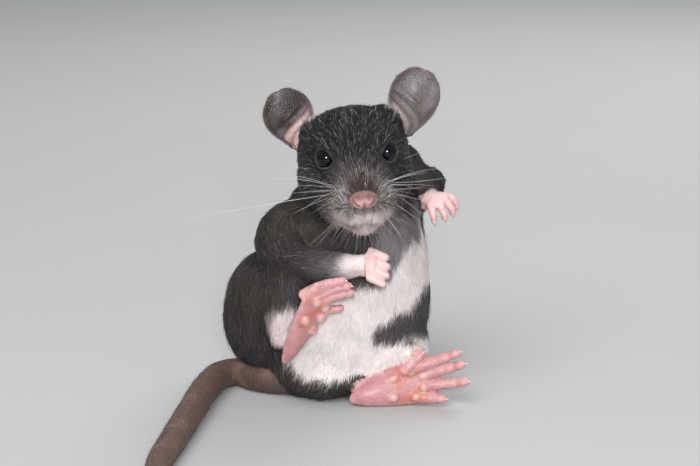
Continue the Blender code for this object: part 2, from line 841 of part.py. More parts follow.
def main():
    """Makes every part of the rat, cuts each clear of its neighbours and sets it down."""
    clear_scene()
    bpy.context.scene.collection.children.link(NODES)
    bpy.context.scene.collection.children.link(HELPERS)
    head = make_head()
    torso = carve(make_torso(), head)
    neck = carve(make_neck(), torso, head)
    ears = [
        make_ear("ear_left", (13.7, -5.5, 72.8), (0.33, 0.48, 0.81), (0.10, -0.90, 0.45), head),
        make_ear("ear_right", (-12.8, -4.5, 69.0), (-0.36, 0.66, 0.64), (-0.20, -0.75, 0.62), head),
    ]
    eyes = [make_eye(1.0, "eye_left"), make_eye(-1.0, "eye_right")]
    foreleg_right, foreleg_left = make_forelegs()
    hind_right, hind_left = make_hind_legs()
    carve(foreleg_right, torso, neck, head)
    carve(foreleg_left, torso, neck, head)
    carve(hind_right, torso, foreleg_right)
    carve(hind_left, torso)
    hand_right = make_hand(
        "hand_right",
        (3.8, -24.5, 41.6),
        (8.4, -26.2, 42.0),
        (0.1, 0.85, -0.45),
        8.0,
        (30, 62, 55),
        6.0,
        800,
    )
    hand_left = make_hand(
        "hand_left",
        (20.6, -6.4, 55.4),
        (24.6, -10.6, 55.2),
        (0.05, 0.35, -0.95),
        8.0,
        (24, 36, 30),
        36.0,
        800,
    )
    carve(hand_right, foreleg_right, torso)
    carve(hand_left, foreleg_left, torso)
    foot_right = make_foot(
        "foot_right",
        (-16.2, -26.0, 17.2),
        (-7.8, -29.4, 34.4),
        (0.42, -0.88, -0.20),
        9.0,
        (3, 10, 12),
        RIGHT_TOES,
        RIGHT_PADS,
        1.5,
    )
    foot_left = make_foot(
        "foot_left",
        (3.2, -21.0, 2.9),
        (20.2, -18.5, 6.6),
        (0.02, -0.95, 0.30),
        12.4,
        (4, 14, 16),
        LEFT_TOES,
        LEFT_PADS,
        1.6,
    )
    carve(foot_right, hind_right, torso)
    carve(foot_left, hind_left, torso)
    tail = make_tail()
    carve(tail[0], torso, hind_right)
    nodes = [
        torso,
        head,
        neck,
        *ears,
        *eyes,
        foreleg_right,
        foreleg_left,
        hind_right,
        hind_left,
        hand_right,
        hand_left,
        foot_right,
        foot_left,
        *tail,
    ]
    for node in (torso, hind_right, hind_left, foot_left, *tail):
        flatten_below(node)
    stand_over_origin(nodes)


main()
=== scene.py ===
"""Visual model of a young pet rat that sits on its rump and leans back, in life size.

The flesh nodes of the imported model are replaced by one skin. The coat stands on it as
joined meshes of fine tufts, and eyes, lids, nose, ears, claws, whiskers and tail are
pieces of their own. Shapes are worked out in the sculptor's drawing, in millimetres,
where the rat faces -Y and +X is its left side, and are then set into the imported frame.
"""
import logging
import math
from dataclasses import dataclass, field
from enum import Enum

import bmesh
import bpy
import numpy as np
from mathutils import Matrix, Vector
from mathutils.bvhtree import BVHTree
from mathutils.kdtree import KDTree


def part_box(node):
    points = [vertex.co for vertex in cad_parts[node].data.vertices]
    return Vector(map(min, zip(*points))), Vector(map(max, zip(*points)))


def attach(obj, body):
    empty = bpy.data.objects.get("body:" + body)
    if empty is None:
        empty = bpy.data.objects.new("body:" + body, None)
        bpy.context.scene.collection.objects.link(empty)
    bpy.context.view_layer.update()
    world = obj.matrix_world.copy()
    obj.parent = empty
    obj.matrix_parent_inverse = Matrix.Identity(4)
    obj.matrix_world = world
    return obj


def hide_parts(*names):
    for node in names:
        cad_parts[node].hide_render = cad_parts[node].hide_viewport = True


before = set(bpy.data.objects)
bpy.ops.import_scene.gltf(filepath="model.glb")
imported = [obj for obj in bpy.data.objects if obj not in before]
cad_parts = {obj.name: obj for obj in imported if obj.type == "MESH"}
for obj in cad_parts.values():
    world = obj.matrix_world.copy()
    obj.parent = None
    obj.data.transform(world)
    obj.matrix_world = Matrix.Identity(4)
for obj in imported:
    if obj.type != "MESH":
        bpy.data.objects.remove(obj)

LOG = logging.getLogger("rat")
MM = 0.001
BODY = "root"
FAR_AWAY = 1e9
FLOOR_GAP = 0.03

NOSE_TIP = Vector((3.7, -34.5, 61.0))
HEAD_ROLL, HEAD_PITCH, HEAD_YAW = math.radians(5.0), math.radians(10.0), math.radians(5.5)
EYE_RADIUS = 2.9
EYE_PLACE = Vector((8.1, 16.2, 6.6))
EYE_GAZE = Vector((0.56, -0.78, 0.28))
LID_OPENING = (2.75, 2.4)
LID_TAPER = 0.20
NOSE_PLACE = (0.0, 1.7, -0.15)
NOSE_REACH = (3.3, 2.4, 2.25)

SPIKE_LOOPS = np.array([0, 2, 1, 0, 1, 4, 3, 1, 2, 5, 4, 2, 0, 3, 5, 3, 4, 6, 4, 5, 6, 5, 3, 6])
SPIKE_SIZES = np.array([3, 4, 4, 4, 3, 3, 3])
SPIKE_PATCH = 0.003 * np.array(
    [(-0.5, -0.5), (0.5, -0.5), (0.0, -0.5), (-0.35, 0.0), (0.35, 0.0), (0.0, 0.0), (0.0, 0.5)]
)


class Slot(Enum):
    """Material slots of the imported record."""

    COAT = "coat"
    EAR = "ear_skin"
    EYE = "eye"
    FOOT = "foot_skin"
    TAIL = "tail_skin"


class Side(Enum):
    """The two sides of the animal, as the sign of x."""

    LEFT = 1.0
    RIGHT = -1.0


def head_matrix() -> Matrix:
    """The matrix that carries the head's own frame to the drawing."""
    turn = (
        Matrix.Rotation(HEAD_YAW, 4, "Z")
        @ Matrix.Rotation(HEAD_PITCH, 4, "X")
        @ Matrix.Rotation(-HEAD_ROLL, 4, "Y")
    )
    return Matrix.Translation(NOSE_TIP) @ turn


def aim(direction: Vector) -> Matrix:
    """A turn whose z axis points along a direction and whose y axis leans upwards."""
    z = direction.normalized()
    x = Vector((0.0, 0.0, 1.0)).cross(z).normalized()
    return Matrix((x, z.cross(x), z)).transposed().to_4x4()


def unit(rows: np.ndarray) -> np.ndarray:
    """Rows scaled to length one."""
    return rows / np.maximum(np.linalg.norm(rows, axis=1, keepdims=True), 1e-9)


def ease(value: np.ndarray, low: float | np.ndarray, high: float | np.ndarray) -> np.ndarray:
    """A soft step from 0 at low to 1 at high."""
    share = np.clip((value - low) / (high - low), 0.0, 1.0)
    return share * share * (3.0 - 2.0 * share)


def blend(first: np.ndarray, second: np.ndarray, share: np.ndarray) -> np.ndarray:
    """Rows of colour between two colours."""
    return first + (np.asarray(second) - first) * share[:, None]


def layered(tint: np.ndarray, *layers: tuple) -> np.ndarray:
    """Rows of colour with others blended over them in turn, each a colour and its shares."""
    for colour, share in layers:
        tint = blend(tint, colour, share)
    return tint


def painted(count: int, base: tuple, *layers: tuple) -> np.ndarray:
    """Rows of one colour with others blended over it in turn."""
    return layered(np.tile(np.array(base), (count, 1)), *layers)


def ripple(points: np.ndarray, size: float, seed: int) -> np.ndarray:
    """A smooth random field of about -1 to 1.

    Args:
        points: Places in millimetres.
        size: The width of a lump in millimetres.
        seed: Which field.

    Returns:
        One value a place.
    """
    rng = np.random.default_rng(seed)
    total = np.zeros(len(points))
    for _ in range(7):
        way = rng.normal(size=3)
        way *= rng.uniform(0.6, 1.5) * math.pi / (size * np.linalg.norm(way))
        total += np.sin(points @ way + rng.uniform(0.0, 6.28))
    return total / 3.2


def smooth_line(points: list, values: list, per_span: int) -> tuple[np.ndarray, np.ndarray]:
    """Points and values read along one smooth curve through the given ones."""
    rows = np.array([(*p, v) for p, v in zip(points, values)], float)
    rows = np.vstack([2 * rows[0] - rows[1], rows, 2 * rows[-1] - rows[-2]])
    found = []
    for i in range(1, len(rows) - 2):
        a, b, c, d = rows[i - 1 : i + 3]
        for k in range(per_span + (i == len(rows) - 3)):
            t = k / per_span
            found.append(
                0.5 * (2 * b + (c - a) * t + (2 * a - 5 * b + 4 * c - d) * t**2 + (3 * b - a - 3 * c + d) * t**3)
            )
    found = np.array(found)
    return found[:, :3], found[:, 3]


def polygon_depth(x: np.ndarray, z: np.ndarray, corners: tuple) -> np.ndarray:
    """How far places lie inside an outline, in millimetres, and negative outside."""
    nearest = np.full(len(x), FAR_AWAY)
    inside = np.zeros(len(x), bool)
    for (ax, az), (bx, bz) in zip(corners, (*corners[1:], corners[0])):
        ex, ez = bx - ax, bz - az
        share = np.clip(((x - ax) * ex + (z - az) * ez) / (ex * ex + ez * ez), 0.0, 1.0)
        nearest = np.minimum(nearest, np.hypot(x - ax - share * ex, z - az - share * ez))
        if az != bz:
            inside ^= ((az > z) != (bz > z)) & (x < ex * (z - az) / ez + ax)
    return np.where(inside, nearest, -nearest)


def segment_distance(points: np.ndarray, a: tuple, b: tuple) -> np.ndarray:
    """Distance from places to the straight line between two points."""
    a, b = np.asarray(a, float), np.asarray(b, float)
    way = b - a
    share = np.clip((points - a) @ way / (way @ way), 0.0, 1.0)
    return np.linalg.norm(points - a - share[:, None] * way, axis=1)


def point_distance(points: np.ndarray, place: tuple) -> np.ndarray:
    """Distance from places to one place."""
    return np.linalg.norm(points - np.array(place), axis=1)


def line_distance(points: np.ndarray, line: list) -> np.ndarray:
    """Distance from places to a line of straight spans."""
    return np.min([segment_distance(points, a, b) for a, b in zip(line, line[1:])], axis=0)


def pad_reach(local: np.ndarray) -> np.ndarray:
    """How far out of the nose pad places in the head's own frame are; 1 is its rim."""
    return np.sqrt(np.sum(((local - NOSE_PLACE) / NOSE_REACH) ** 2, axis=1))


class Drawing:
    """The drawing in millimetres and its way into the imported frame."""

    def __init__(self) -> None:
        drawn, packed = Vector(), Vector()
        for side in Side:
            low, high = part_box("eye_" + side.name.lower())
            packed += (low + high) / 4.0
            drawn += head_matrix() @ eye_place(side) / 2.0
        self.shift = packed / MM - drawn

    def settle(self, mesh: bpy.types.Mesh) -> None:
        """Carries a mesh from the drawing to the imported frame."""
        mesh.transform(Matrix.Scale(MM, 4) @ Matrix.Translation(self.shift))

    def lift(self, node: str) -> bmesh.types.BMesh:
        """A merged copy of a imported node, in the drawing."""
        made = bmesh.new()
        made.from_mesh(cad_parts[node].data)
        bmesh.ops.remove_doubles(made, verts=made.verts, dist=1e-6)
        bmesh.ops.transform(
            made, matrix=Matrix.Translation(-self.shift) @ Matrix.Scale(1.0 / MM, 4), verts=made.verts
        )
        made.normal_update()
        return made


def eye_place(side: Side) -> Vector:
    """An eye's centre in the head's own frame."""
    return Vector((EYE_PLACE.x * side.value, EYE_PLACE.y, EYE_PLACE.z))


def eye_frame(side: Side) -> Matrix:
    """The frame at an eye's centre whose z axis is its gaze."""
    gaze = Vector((EYE_GAZE.x * side.value, EYE_GAZE.y, EYE_GAZE.z))
    return head_matrix() @ Matrix.Translation(eye_place(side)) @ aim(gaze)


def carry(matrix: Matrix, points: np.ndarray) -> np.ndarray:
    """Points moved by a matrix."""
    m = np.array(matrix)
    return points @ m[:3, :3].T + m[:3, 3]


def new_object(name: str, mesh: bpy.types.ID) -> bpy.types.Object:
    """Links new data as a named object."""
    obj = bpy.data.objects.new(name, mesh)
    bpy.context.scene.collection.objects.link(obj)
    return obj


def applied(obj: bpy.types.Object) -> bpy.types.Mesh:
    """What an object's modifiers make of it; the object itself is removed."""
    bpy.context.view_layer.update()
    graph = bpy.context.evaluated_depsgraph_get()
    mesh = bpy.data.meshes.new_from_object(obj.evaluated_get(graph))
    bpy.data.objects.remove(obj)
    return mesh


def made_mesh(name: str, made: bmesh.types.BMesh) -> bpy.types.Mesh:
    """A new mesh of a bmesh, which is freed."""
    mesh = bpy.data.meshes.new(name)
    made.to_mesh(mesh)
    made.free()
    return mesh


def tubes(name: str, lines: list, resolution: int, closed: bool = False) -> bpy.types.Mesh:
    """Tapering tubes along several lines, as one mesh.

    Args:
        name: The name of the mesh.
        lines: Pairs of points and radii.
        resolution: The curve's bevel resolution.
        closed: True where each line is a ring.

    Returns:
        The mesh, with its ends capped.
    """
    data = bpy.data.curves.new(name, "CURVE")
    data.dimensions = "3D"
    data.bevel_depth = 1.0
    data.bevel_resolution = resolution
    data.use_fill_caps = not closed
    for points, radii in lines:
        spline = data.splines.new("POLY")
        spline.points.add(len(points) - 1)
        spline.use_cyclic_u = closed
        for knot, place, size in zip(spline.points, points, radii):
            knot.co = (*place, 1.0)
            knot.radius = size
    mesh = applied(new_object(name, data))
    mesh.name = name
    made = bmesh.new()
    made.from_mesh(mesh)
    bmesh.ops.remove_doubles(made, verts=made.verts, dist=1e-4)
    bmesh.ops.recalc_face_normals(made, faces=made.faces)
    made.to_mesh(mesh)
    made.free()
    return mesh


def coordinates(mesh: bpy.types.Mesh, what: str = "co") -> np.ndarray:
    """The places or normals of a mesh's vertices, one row each."""
    found = np.empty(len(mesh.vertices) * 3, np.float32)
    if what == "co":
        mesh.vertices.foreach_get("co", found)
    else:
        mesh.vertex_normals.foreach_get("vector", found)
    return found.reshape(-1, 3).astype(float)


def put_coordinates(mesh: bpy.types.Mesh, places: np.ndarray) -> None:
    """Moves a mesh's vertices."""
    mesh.vertices.foreach_set("co", places.astype(np.float32).ravel())
    mesh.update()


def put_colours(mesh: bpy.types.Mesh, colours: np.ndarray) -> None:
    """Stores one colour a vertex."""
    rows = np.ones((len(mesh.vertices), 4), np.float32)
    rows[:, :3] = np.clip(colours, 0.0, 1.0)
    mesh.color_attributes.new("Tint", "FLOAT_COLOR", "POINT").data.foreach_set("color", rows.ravel())


def put_values(mesh: bpy.types.Mesh, name: str, values: np.ndarray) -> None:
    """Stores one number a vertex."""
    mesh.attributes.new(name, "FLOAT", "POINT").data.foreach_set("value", values.astype(np.float32))


class Workshop:
    """Sets finished meshes into the frame and hides the imported nodes that they replace."""

    def __init__(self) -> None:
        self.drawing = Drawing()

    def deliver(
        self, name: str, mesh: bpy.types.Mesh, material: object, nodes: tuple[str, ...] = ()
    ) -> None:
        """Makes a finished piece of a mesh that lies in the drawing.

        Args:
            name: The piece's name.
            mesh: Its mesh, in millimetres.
            material: Its material, or several.
            nodes: The CAD nodes that it stands for.
        """
        self.drawing.settle(mesh)
        if not isinstance(material, (list, tuple)):
            mesh.materials.clear()
            material = [material]
        for one in material:
            mesh.materials.append(one)
        mesh.shade_smooth()
        mesh.name = name
        piece = new_object(name, mesh)
        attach(piece, BODY)
        if nodes:
            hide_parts(*nodes)
        triangles = len(mesh.loops) - 2 * len(mesh.polygons)
        LOG.info("%s: %d faces, %d triangles", name, len(mesh.polygons), triangles)


# Finishes


class Board:
    """A small helper that sets nodes on a material or a group and links them."""

    def __init__(self, tree: bpy.types.NodeTree) -> None:
        self.tree = tree

    def fill(self, node: bpy.types.Node, values: dict) -> bpy.types.Node:
        """Gives a node's inputs plain values or links."""
        for key, value in values.items():
            if isinstance(value, bpy.types.NodeSocket):
                self.tree.links.new(value, node.inputs[key])
            else:
                node.inputs[key].default_value = value
        return node

    def node(self, kind: str, values: dict | None = None, **settings: object) -> bpy.types.Node:
        """Adds a node, with settings, and with plain values or links for its inputs."""
        node = self.tree.nodes.new(kind)
        for key, value in settings.items():
            setattr(node, key, value)
        return self.fill(node, values or {})

    def group(self, tree: bpy.types.NodeTree, **values: float) -> bpy.types.bpy_prop_collection:
        """The outputs of a shared group, with its numbers set."""
        return self.node("ShaderNodeGroup", values, node_tree=tree).outputs

    def math(self, operation: str, first: object, second: object = 0.0) -> bpy.types.NodeSocket:
        """The result of a sum."""
        return self.node("ShaderNodeMath", {0: first, 1: second}, operation=operation).outputs[0]

    def mix(self, share: object, first: object, second: object, kind: str = "MIX") -> bpy.types.NodeSocket:
        """A mix of two colours."""
        values = {0: share, 6: first, 7: second}
        return self.node("ShaderNodeMix", values, data_type="RGBA", blend_type=kind).outputs[2]

    def spread(self, value: object, low: float, high: float) -> bpy.types.NodeSocket:
        """A value of 0 to 1 carried to another range."""
        return self.node("ShaderNodeMapRange", {0: value, 3: low, 4: high}).outputs[0]


def new_group(name: str, inputs: tuple, outputs: tuple) -> tuple[bpy.types.NodeTree, Board]:
    """An empty shader group with named sockets.

    Args:
        name: The group's name.
        inputs: Pairs of name and default number.
        outputs: The names of its number outputs.

    Returns:
        The group and a board to fill it.
    """
    group = bpy.data.node_groups.new(name, "ShaderNodeTree")
    for title, value in inputs:
        socket = group.interface.new_socket(title, in_out="INPUT", socket_type="NodeSocketFloat")
        socket.default_value = value
    for title in outputs:
        group.interface.new_socket(title, in_out="OUTPUT", socket_type="NodeSocketFloat")
    return group, Board(group)


def mottle_group() -> bpy.types.NodeTree:
    """Soft patches and fine grain on object coordinates."""
    name = "Mottle"
    if name in bpy.data.node_groups:
        return bpy.data.node_groups[name]
    group, board = new_group(name, (("Size", 600.0), ("Fine", 4000.0)), ("Patches", "Grain"))
    given = board.node("NodeGroupInput").outputs
    place = board.node("ShaderNodeTexCoord").outputs["Object"]
    broad = board.node("ShaderNodeTexNoise", {"Vector": place, "Scale": given["Size"], "Detail": 3.0})
    fine = board.node("ShaderNodeTexNoise", {"Vector": place, "Scale": given["Fine"], "Detail": 2.0})
    board.node("NodeGroupOutput", {"Patches": broad.outputs["Fac"], "Grain": fine.outputs["Fac"]})
    return group


def cells_group() -> bpy.types.NodeTree:
    """The small raised cells and creases of bare skin."""
    name = "SkinCells"
    if name in bpy.data.node_groups:
        return bpy.data.node_groups[name]
    group, board = new_group(name, (("Size", 1600.0), ("Crease", 0.5)), ("Height",))
    given = board.node("NodeGroupInput").outputs
    place = board.node("ShaderNodeTexCoord").outputs["Object"]
    cell = board.node("ShaderNodeTexVoronoi", {"Vector": place, "Scale": given["Size"]})
    folds = board.node("ShaderNodeTexNoise", {"Vector": place, "Scale": 900.0, "Detail": 4.0, "Roughness": 0.7})
    dome = board.math("SUBTRACT", 1.0, cell.outputs["Distance"])
    height = board.math("ADD", dome, board.math("MULTIPLY", folds.outputs["Fac"], given["Crease"]))
    board.node("NodeGroupOutput", {"Height": height})
    return group


@dataclass(frozen=True)
class Finish:
    """What every finish has: two colours in soft patches, roughness limits and a relief."""

    name: str
    roughness: tuple[float, float] = (0.5, 0.65)
    relief: float = 0.3
    depth: float = 0.0001
    patch: float = 900.0
    grain: float = 5000.0
    first: tuple = (0.0, 0.0, 0.0, 1.0)
    second: tuple = (1.0, 1.0, 1.0, 1.0)

    def build(self) -> bpy.types.Material:
        """Makes the material."""
        material = bpy.data.materials.new(self.name)
        material.use_nodes = True
        board = Board(material.node_tree)
        mottle = board.group(mottle_group(), Size=self.patch, Fine=self.grain)
        values = self.settings()
        values["Base Color"] = self.colour(board, mottle["Patches"])
        values["Roughness"] = board.spread(mottle["Grain"], *self.roughness)
        if self.relief:
            bump = {"Strength": self.relief, "Distance": self.depth, "Height": self.height(board, mottle["Grain"])}
            values["Normal"] = board.node("ShaderNodeBump", bump).outputs[0]
        board.fill(material.node_tree.nodes["Principled BSDF"], values)
        return material

    def settings(self) -> dict:
        """Plain values for the shader."""
        return {}

    def colour(self, board: Board, patches: bpy.types.NodeSocket) -> bpy.types.NodeSocket:
        """Two colours in soft patches."""
        return board.mix(patches, self.first, self.second)

    def height(self, board: Board, grain: bpy.types.NodeSocket) -> bpy.types.NodeSocket:
        """The relief, which is the fine grain where no finish says otherwise."""
        return grain


@dataclass(frozen=True)
class PaintedFinish(Finish):
    """The tints that are painted on a piece, deepened in soft patches."""

    deeper: tuple = (0.62, 0.60, 0.60, 1.0)
    deepest: float = 0.75

    def colour(self, board: Board, patches: bpy.types.NodeSocket) -> bpy.types.NodeSocket:
        """The painted tint, deeper in patches."""
        tint = board.node("ShaderNodeVertexColor", layer_name="Tint").outputs["Color"]
        deeper = board.mix(1.0, tint, self.deeper, "MULTIPLY")
        return board.mix(board.spread(patches, self.deepest, -0.1), tint, deeper)


@dataclass(frozen=True)
class CoatFinish(PaintedFinish):
    """Hair: the tufts' own colours, varied a little, with a soft gloss."""

    patch: float = 260.0
    grain: float = 2600.0
    sheen: float = 0.025

    def settings(self) -> dict:
        """A faint sheen and a weak reflection."""
        return {"Sheen Weight": self.sheen, "Sheen Roughness": 0.4, "Specular IOR Level": 0.16}


@dataclass(frozen=True)
class SkinFinish(PaintedFinish):
    """Bare or furred skin: painted tints, cells, creases and rings."""

    patch: float = 420.0
    grain: float = 3400.0
    deeper: tuple = (0.74, 0.58, 0.56, 1.0)
    deepest: float = 0.8
    cell: float = 1800.0
    crease: float = 0.6
    ring_depth: float = 0.0
    flesh: float = 0.0
    gloss: float = 0.0
    shine: float = 0.5

    def settings(self) -> dict:
        """How far light goes into the flesh, and how moist the surface is."""
        return {
            "Specular IOR Level": self.shine,
            "Subsurface Weight": self.flesh,
            "Subsurface Radius": (1.0, 0.45, 0.35),
            "Subsurface Scale": 0.0007,
            "Coat Weight": self.gloss,
            "Coat Roughness": 0.32,
        }

    def height(self, board: Board, grain: bpy.types.NodeSocket) -> bpy.types.NodeSocket:
        """The skin's cells, and rings where the piece has them."""
        height = board.group(cells_group(), Size=self.cell, Crease=self.crease)["Height"]
        if self.ring_depth:
            rings = board.node("ShaderNodeAttribute", attribute_name="Rings").outputs["Fac"]
            wave = board.math("SINE", board.math("MULTIPLY", rings, 2.0 * math.pi))
            height = board.math("ADD", height, board.math("MULTIPLY", wave, self.ring_depth))
        return height


@dataclass(frozen=True)
class EyeFinish(Finish):
    """A black, wet, opaque eye with hardly any pattern."""

    relief: float = 0.0
    first: tuple = (0.0008, 0.0008, 0.002, 1.0)
    second: tuple = (0.004, 0.003, 0.006, 1.0)

    def settings(self) -> dict:
        """A reflection a little weaker than that of water."""
        return {"Specular IOR Level": 0.32}


@dataclass(frozen=True)
class ClawFinish(Finish):
    """Pale translucent horn with pinker patches."""

    patch: float = 1500.0
    grain: float = 6000.0
    first: tuple = (0.66, 0.50, 0.43, 1.0)
    second: tuple = (0.84, 0.77, 0.70, 1.0)

    def settings(self) -> dict:
        """How far light goes into the horn."""
        return {"Subsurface Weight": 0.15, "Subsurface Scale": 0.0006}


@dataclass(frozen=True)
class FloorFinish(Finish):
    """The plain pale floor."""

    relief: float = 0.0
    patch: float = 6.0
    grain: float = 160.0
    first: tuple = (0.40, 0.40, 0.395, 1.0)
    second: tuple = (0.43, 0.43, 0.425, 1.0)


# Markings


@dataclass(frozen=True)
class Markings:
    """The colours of coat and skin, as soft areas in the drawing."""

    dark: tuple = (0.037, 0.033, 0.031)
    brown: tuple = (0.055, 0.046, 0.041)
    crown: tuple = (0.014, 0.013, 0.013)
    muzzle: tuple = (0.098, 0.080, 0.074)
    bridge: tuple = (0.055, 0.034, 0.029)
    lip: tuple = (0.70, 0.595, 0.575)
    white: tuple = (0.84, 0.76, 0.745)
    roan: tuple = (0.24, 0.226, 0.230)
    ankle: tuple = (0.78, 0.66, 0.66)
    ear_roots: tuple = ((11.4, -6.5, 79.0), (-10.3, -6.8, 75.6))
    belly: tuple = (
        (-13.0, 29.0), (-4.8, 31.6), (2.5, 34.4), (9.5, 37.0), (13.3, 40.4), (17.5, 48.5), (22.4, 46.5),
        (24.5, 38.9), (26.0, 33.4), (30.0, 20.0), (28.0, 3.0), (4.5, 1.0), (2.5, 9.0), (-4.8, 8.4),
        (-14.6, 7.5), (-17.5, 14.0), (-16.0, 24.0),
    )
    flank: tuple = (
        (27.0, 33.0), (23.2, 32.5), (14.3, 27.5), (9.5, 23.8), (7.6, 20.6), (14.3, 18.8), (19.0, 17.4), (27.0, 18.3),
    )
    breast: tuple = ((6.0, 33.0), (5.0, 42.0), (8.0, 52.0), (21.0, 52.0), (19.0, 42.0), (13.0, 34.0))
    heel: tuple = ((-16.8, -22.5, 26.0), (-16.6, -24.5, 21.0))

    def pale_hairs(self, places: np.ndarray, parts: np.ndarray) -> np.ndarray:
        """The share of pale hairs in the dark coat: most on the muzzle, few on the body."""
        x, y, z = carry(head_matrix().inverted(), places).T
        share = np.full(len(places), 0.05)
        on_head = parts == "head"
        bridge = ease(4.4 - np.abs(x), 0.0, 1.8) * ease(6.6 - y, 0.0, 2.5) * ease(z, -0.2, 1.2)
        share[on_head] = ((0.12 + 0.40 * ease(13.0 - y, 0.0, 10.0)) * (1.0 - 0.85 * bridge))[on_head]
        return share

    def colours(self, places: np.ndarray, normals: np.ndarray, parts: np.ndarray) -> np.ndarray:
        """The coat's colour at some places.

        Args:
            places: Where, in millimetres.
            normals: The skin's normals there.
            parts: The name of the flesh node there.

        Returns:
            One row of red, green and blue each.
        """
        wander = ripple(places, 7.0, 3) * 1.3 + ripple(places, 2.4, 5) * 0.6
        x, y, z = places.T
        low = np.where(x > 8.0, -0.45, -0.05)
        front = ease(-normals[:, 1] + 0.05 * wander, low, low + 0.35) * ease(-y, -6.0, 0.0)
        trunk = np.isin(parts, ("torso", "neck", "hind_leg_left", "foreleg_left"))
        roan = ease(polygon_depth(x, z, self.breast) + wander, -2.5, 2.0) * front * trunk
        patch = ease(polygon_depth(x, z, self.flank) + wander, -1.0, 1.0)
        white = ease(polygon_depth(x, z, self.belly) + wander, -1.0, 1.2) * (1.0 - patch)
        under = ease(-normals[:, 2], 0.3, 0.8) * ease(8.0 - z, 0.0, 4.0) * (parts == "hind_leg_left")
        ankle = ease(6.9 - segment_distance(places, *self.heel) + 1.5 * wander, 0.0, 4.5)
        forearm = parts == "foreleg_right"
        tint = painted(
            len(places), self.dark,
            (self.brown, ease(ripple(places, 16.0, 8), -0.2, 1.2) * 0.6),
            (self.roan, roan * 0.8),
            (self.roan, patch * front * trunk * 0.2),
            (self.white, white * front * trunk),
            (self.white, under),
            (self.ankle, ankle * (parts == "hind_leg_right") * 0.9),
            (self.white, np.char.startswith(parts.astype(str), "foot") * 0.85),
            (self.white, (parts == "hand_right") * 0.85),
            (self.white, (parts == "hand_left") * ease(-y, 6.5, 8.5) * 0.85),
            (self.roan, ease(x + wander, -16.0, -5.0) * forearm * 0.4),
            (self.white, ease(x + wander, -7.5, 0.5) * forearm),
            (self.white, ease(-y + wander * 0.6, 6.0, 8.0) * (parts == "foreleg_left") * 0.9),
        )
        return self.head(tint, places, parts)

    def head(self, tint: np.ndarray, places: np.ndarray, parts: np.ndarray) -> np.ndarray:
        """Adds the black crown, the greyer muzzle, the brown bridge, the pale lips and the ear roots.

        Args:
            tint: The colours so far.
            places: Where, in millimetres.
            parts: The name of the flesh node there.

        Returns:
            The colours with the head's own over them.
        """
        on_head = parts == "head"
        local = carry(head_matrix().inverted(), places)
        x, y, z = local.T
        wander = ripple(local, 3.0, 12) * 0.7
        crown = ease(z + 0.35 * y - 7.5 + wander * 2.0, 0.0, 5.0) * ease(y, 7.0, 13.0) * on_head
        grey = ease(11.0 - y + wander - np.maximum(z, 0.0) * 0.8, 0.0, 7.0) * on_head
        grey *= ease(9.5 - np.abs(x) + wander, 0.0, 3.5)
        bridge = ease(4.2 - np.abs(x), 0.0, 2.6) * ease(6.6 - y + wander, 0.0, 2.8) * ease(z, -0.2, 1.2) * on_head
        lip = ease(-z + wander * 0.5, 1.8, 4.6) * ease(13.5 - y + wander, 0.0, 5.0) * on_head
        lip *= ease(8.4 - np.abs(x) + wander, 0.0, 2.6)
        left, right = (
            ease(3.0 - point_distance(places, centre) + wander * 0.5, 0.0, 1.6)
            for centre in self.ear_roots
        )
        return layered(
            tint,
            (self.crown, ease(y, 6.0, 14.0) * ease(34.0 - y, 0.0, 10.0) * on_head * 0.55),
            (self.crown, crown * 0.9),
            (self.muzzle, grey * 0.85),
            (self.bridge, bridge * 0.85),
            (self.lip, lip),
            (self.white, left * 0.45),
            (self.white, right * 0.85),
        )


# Paws


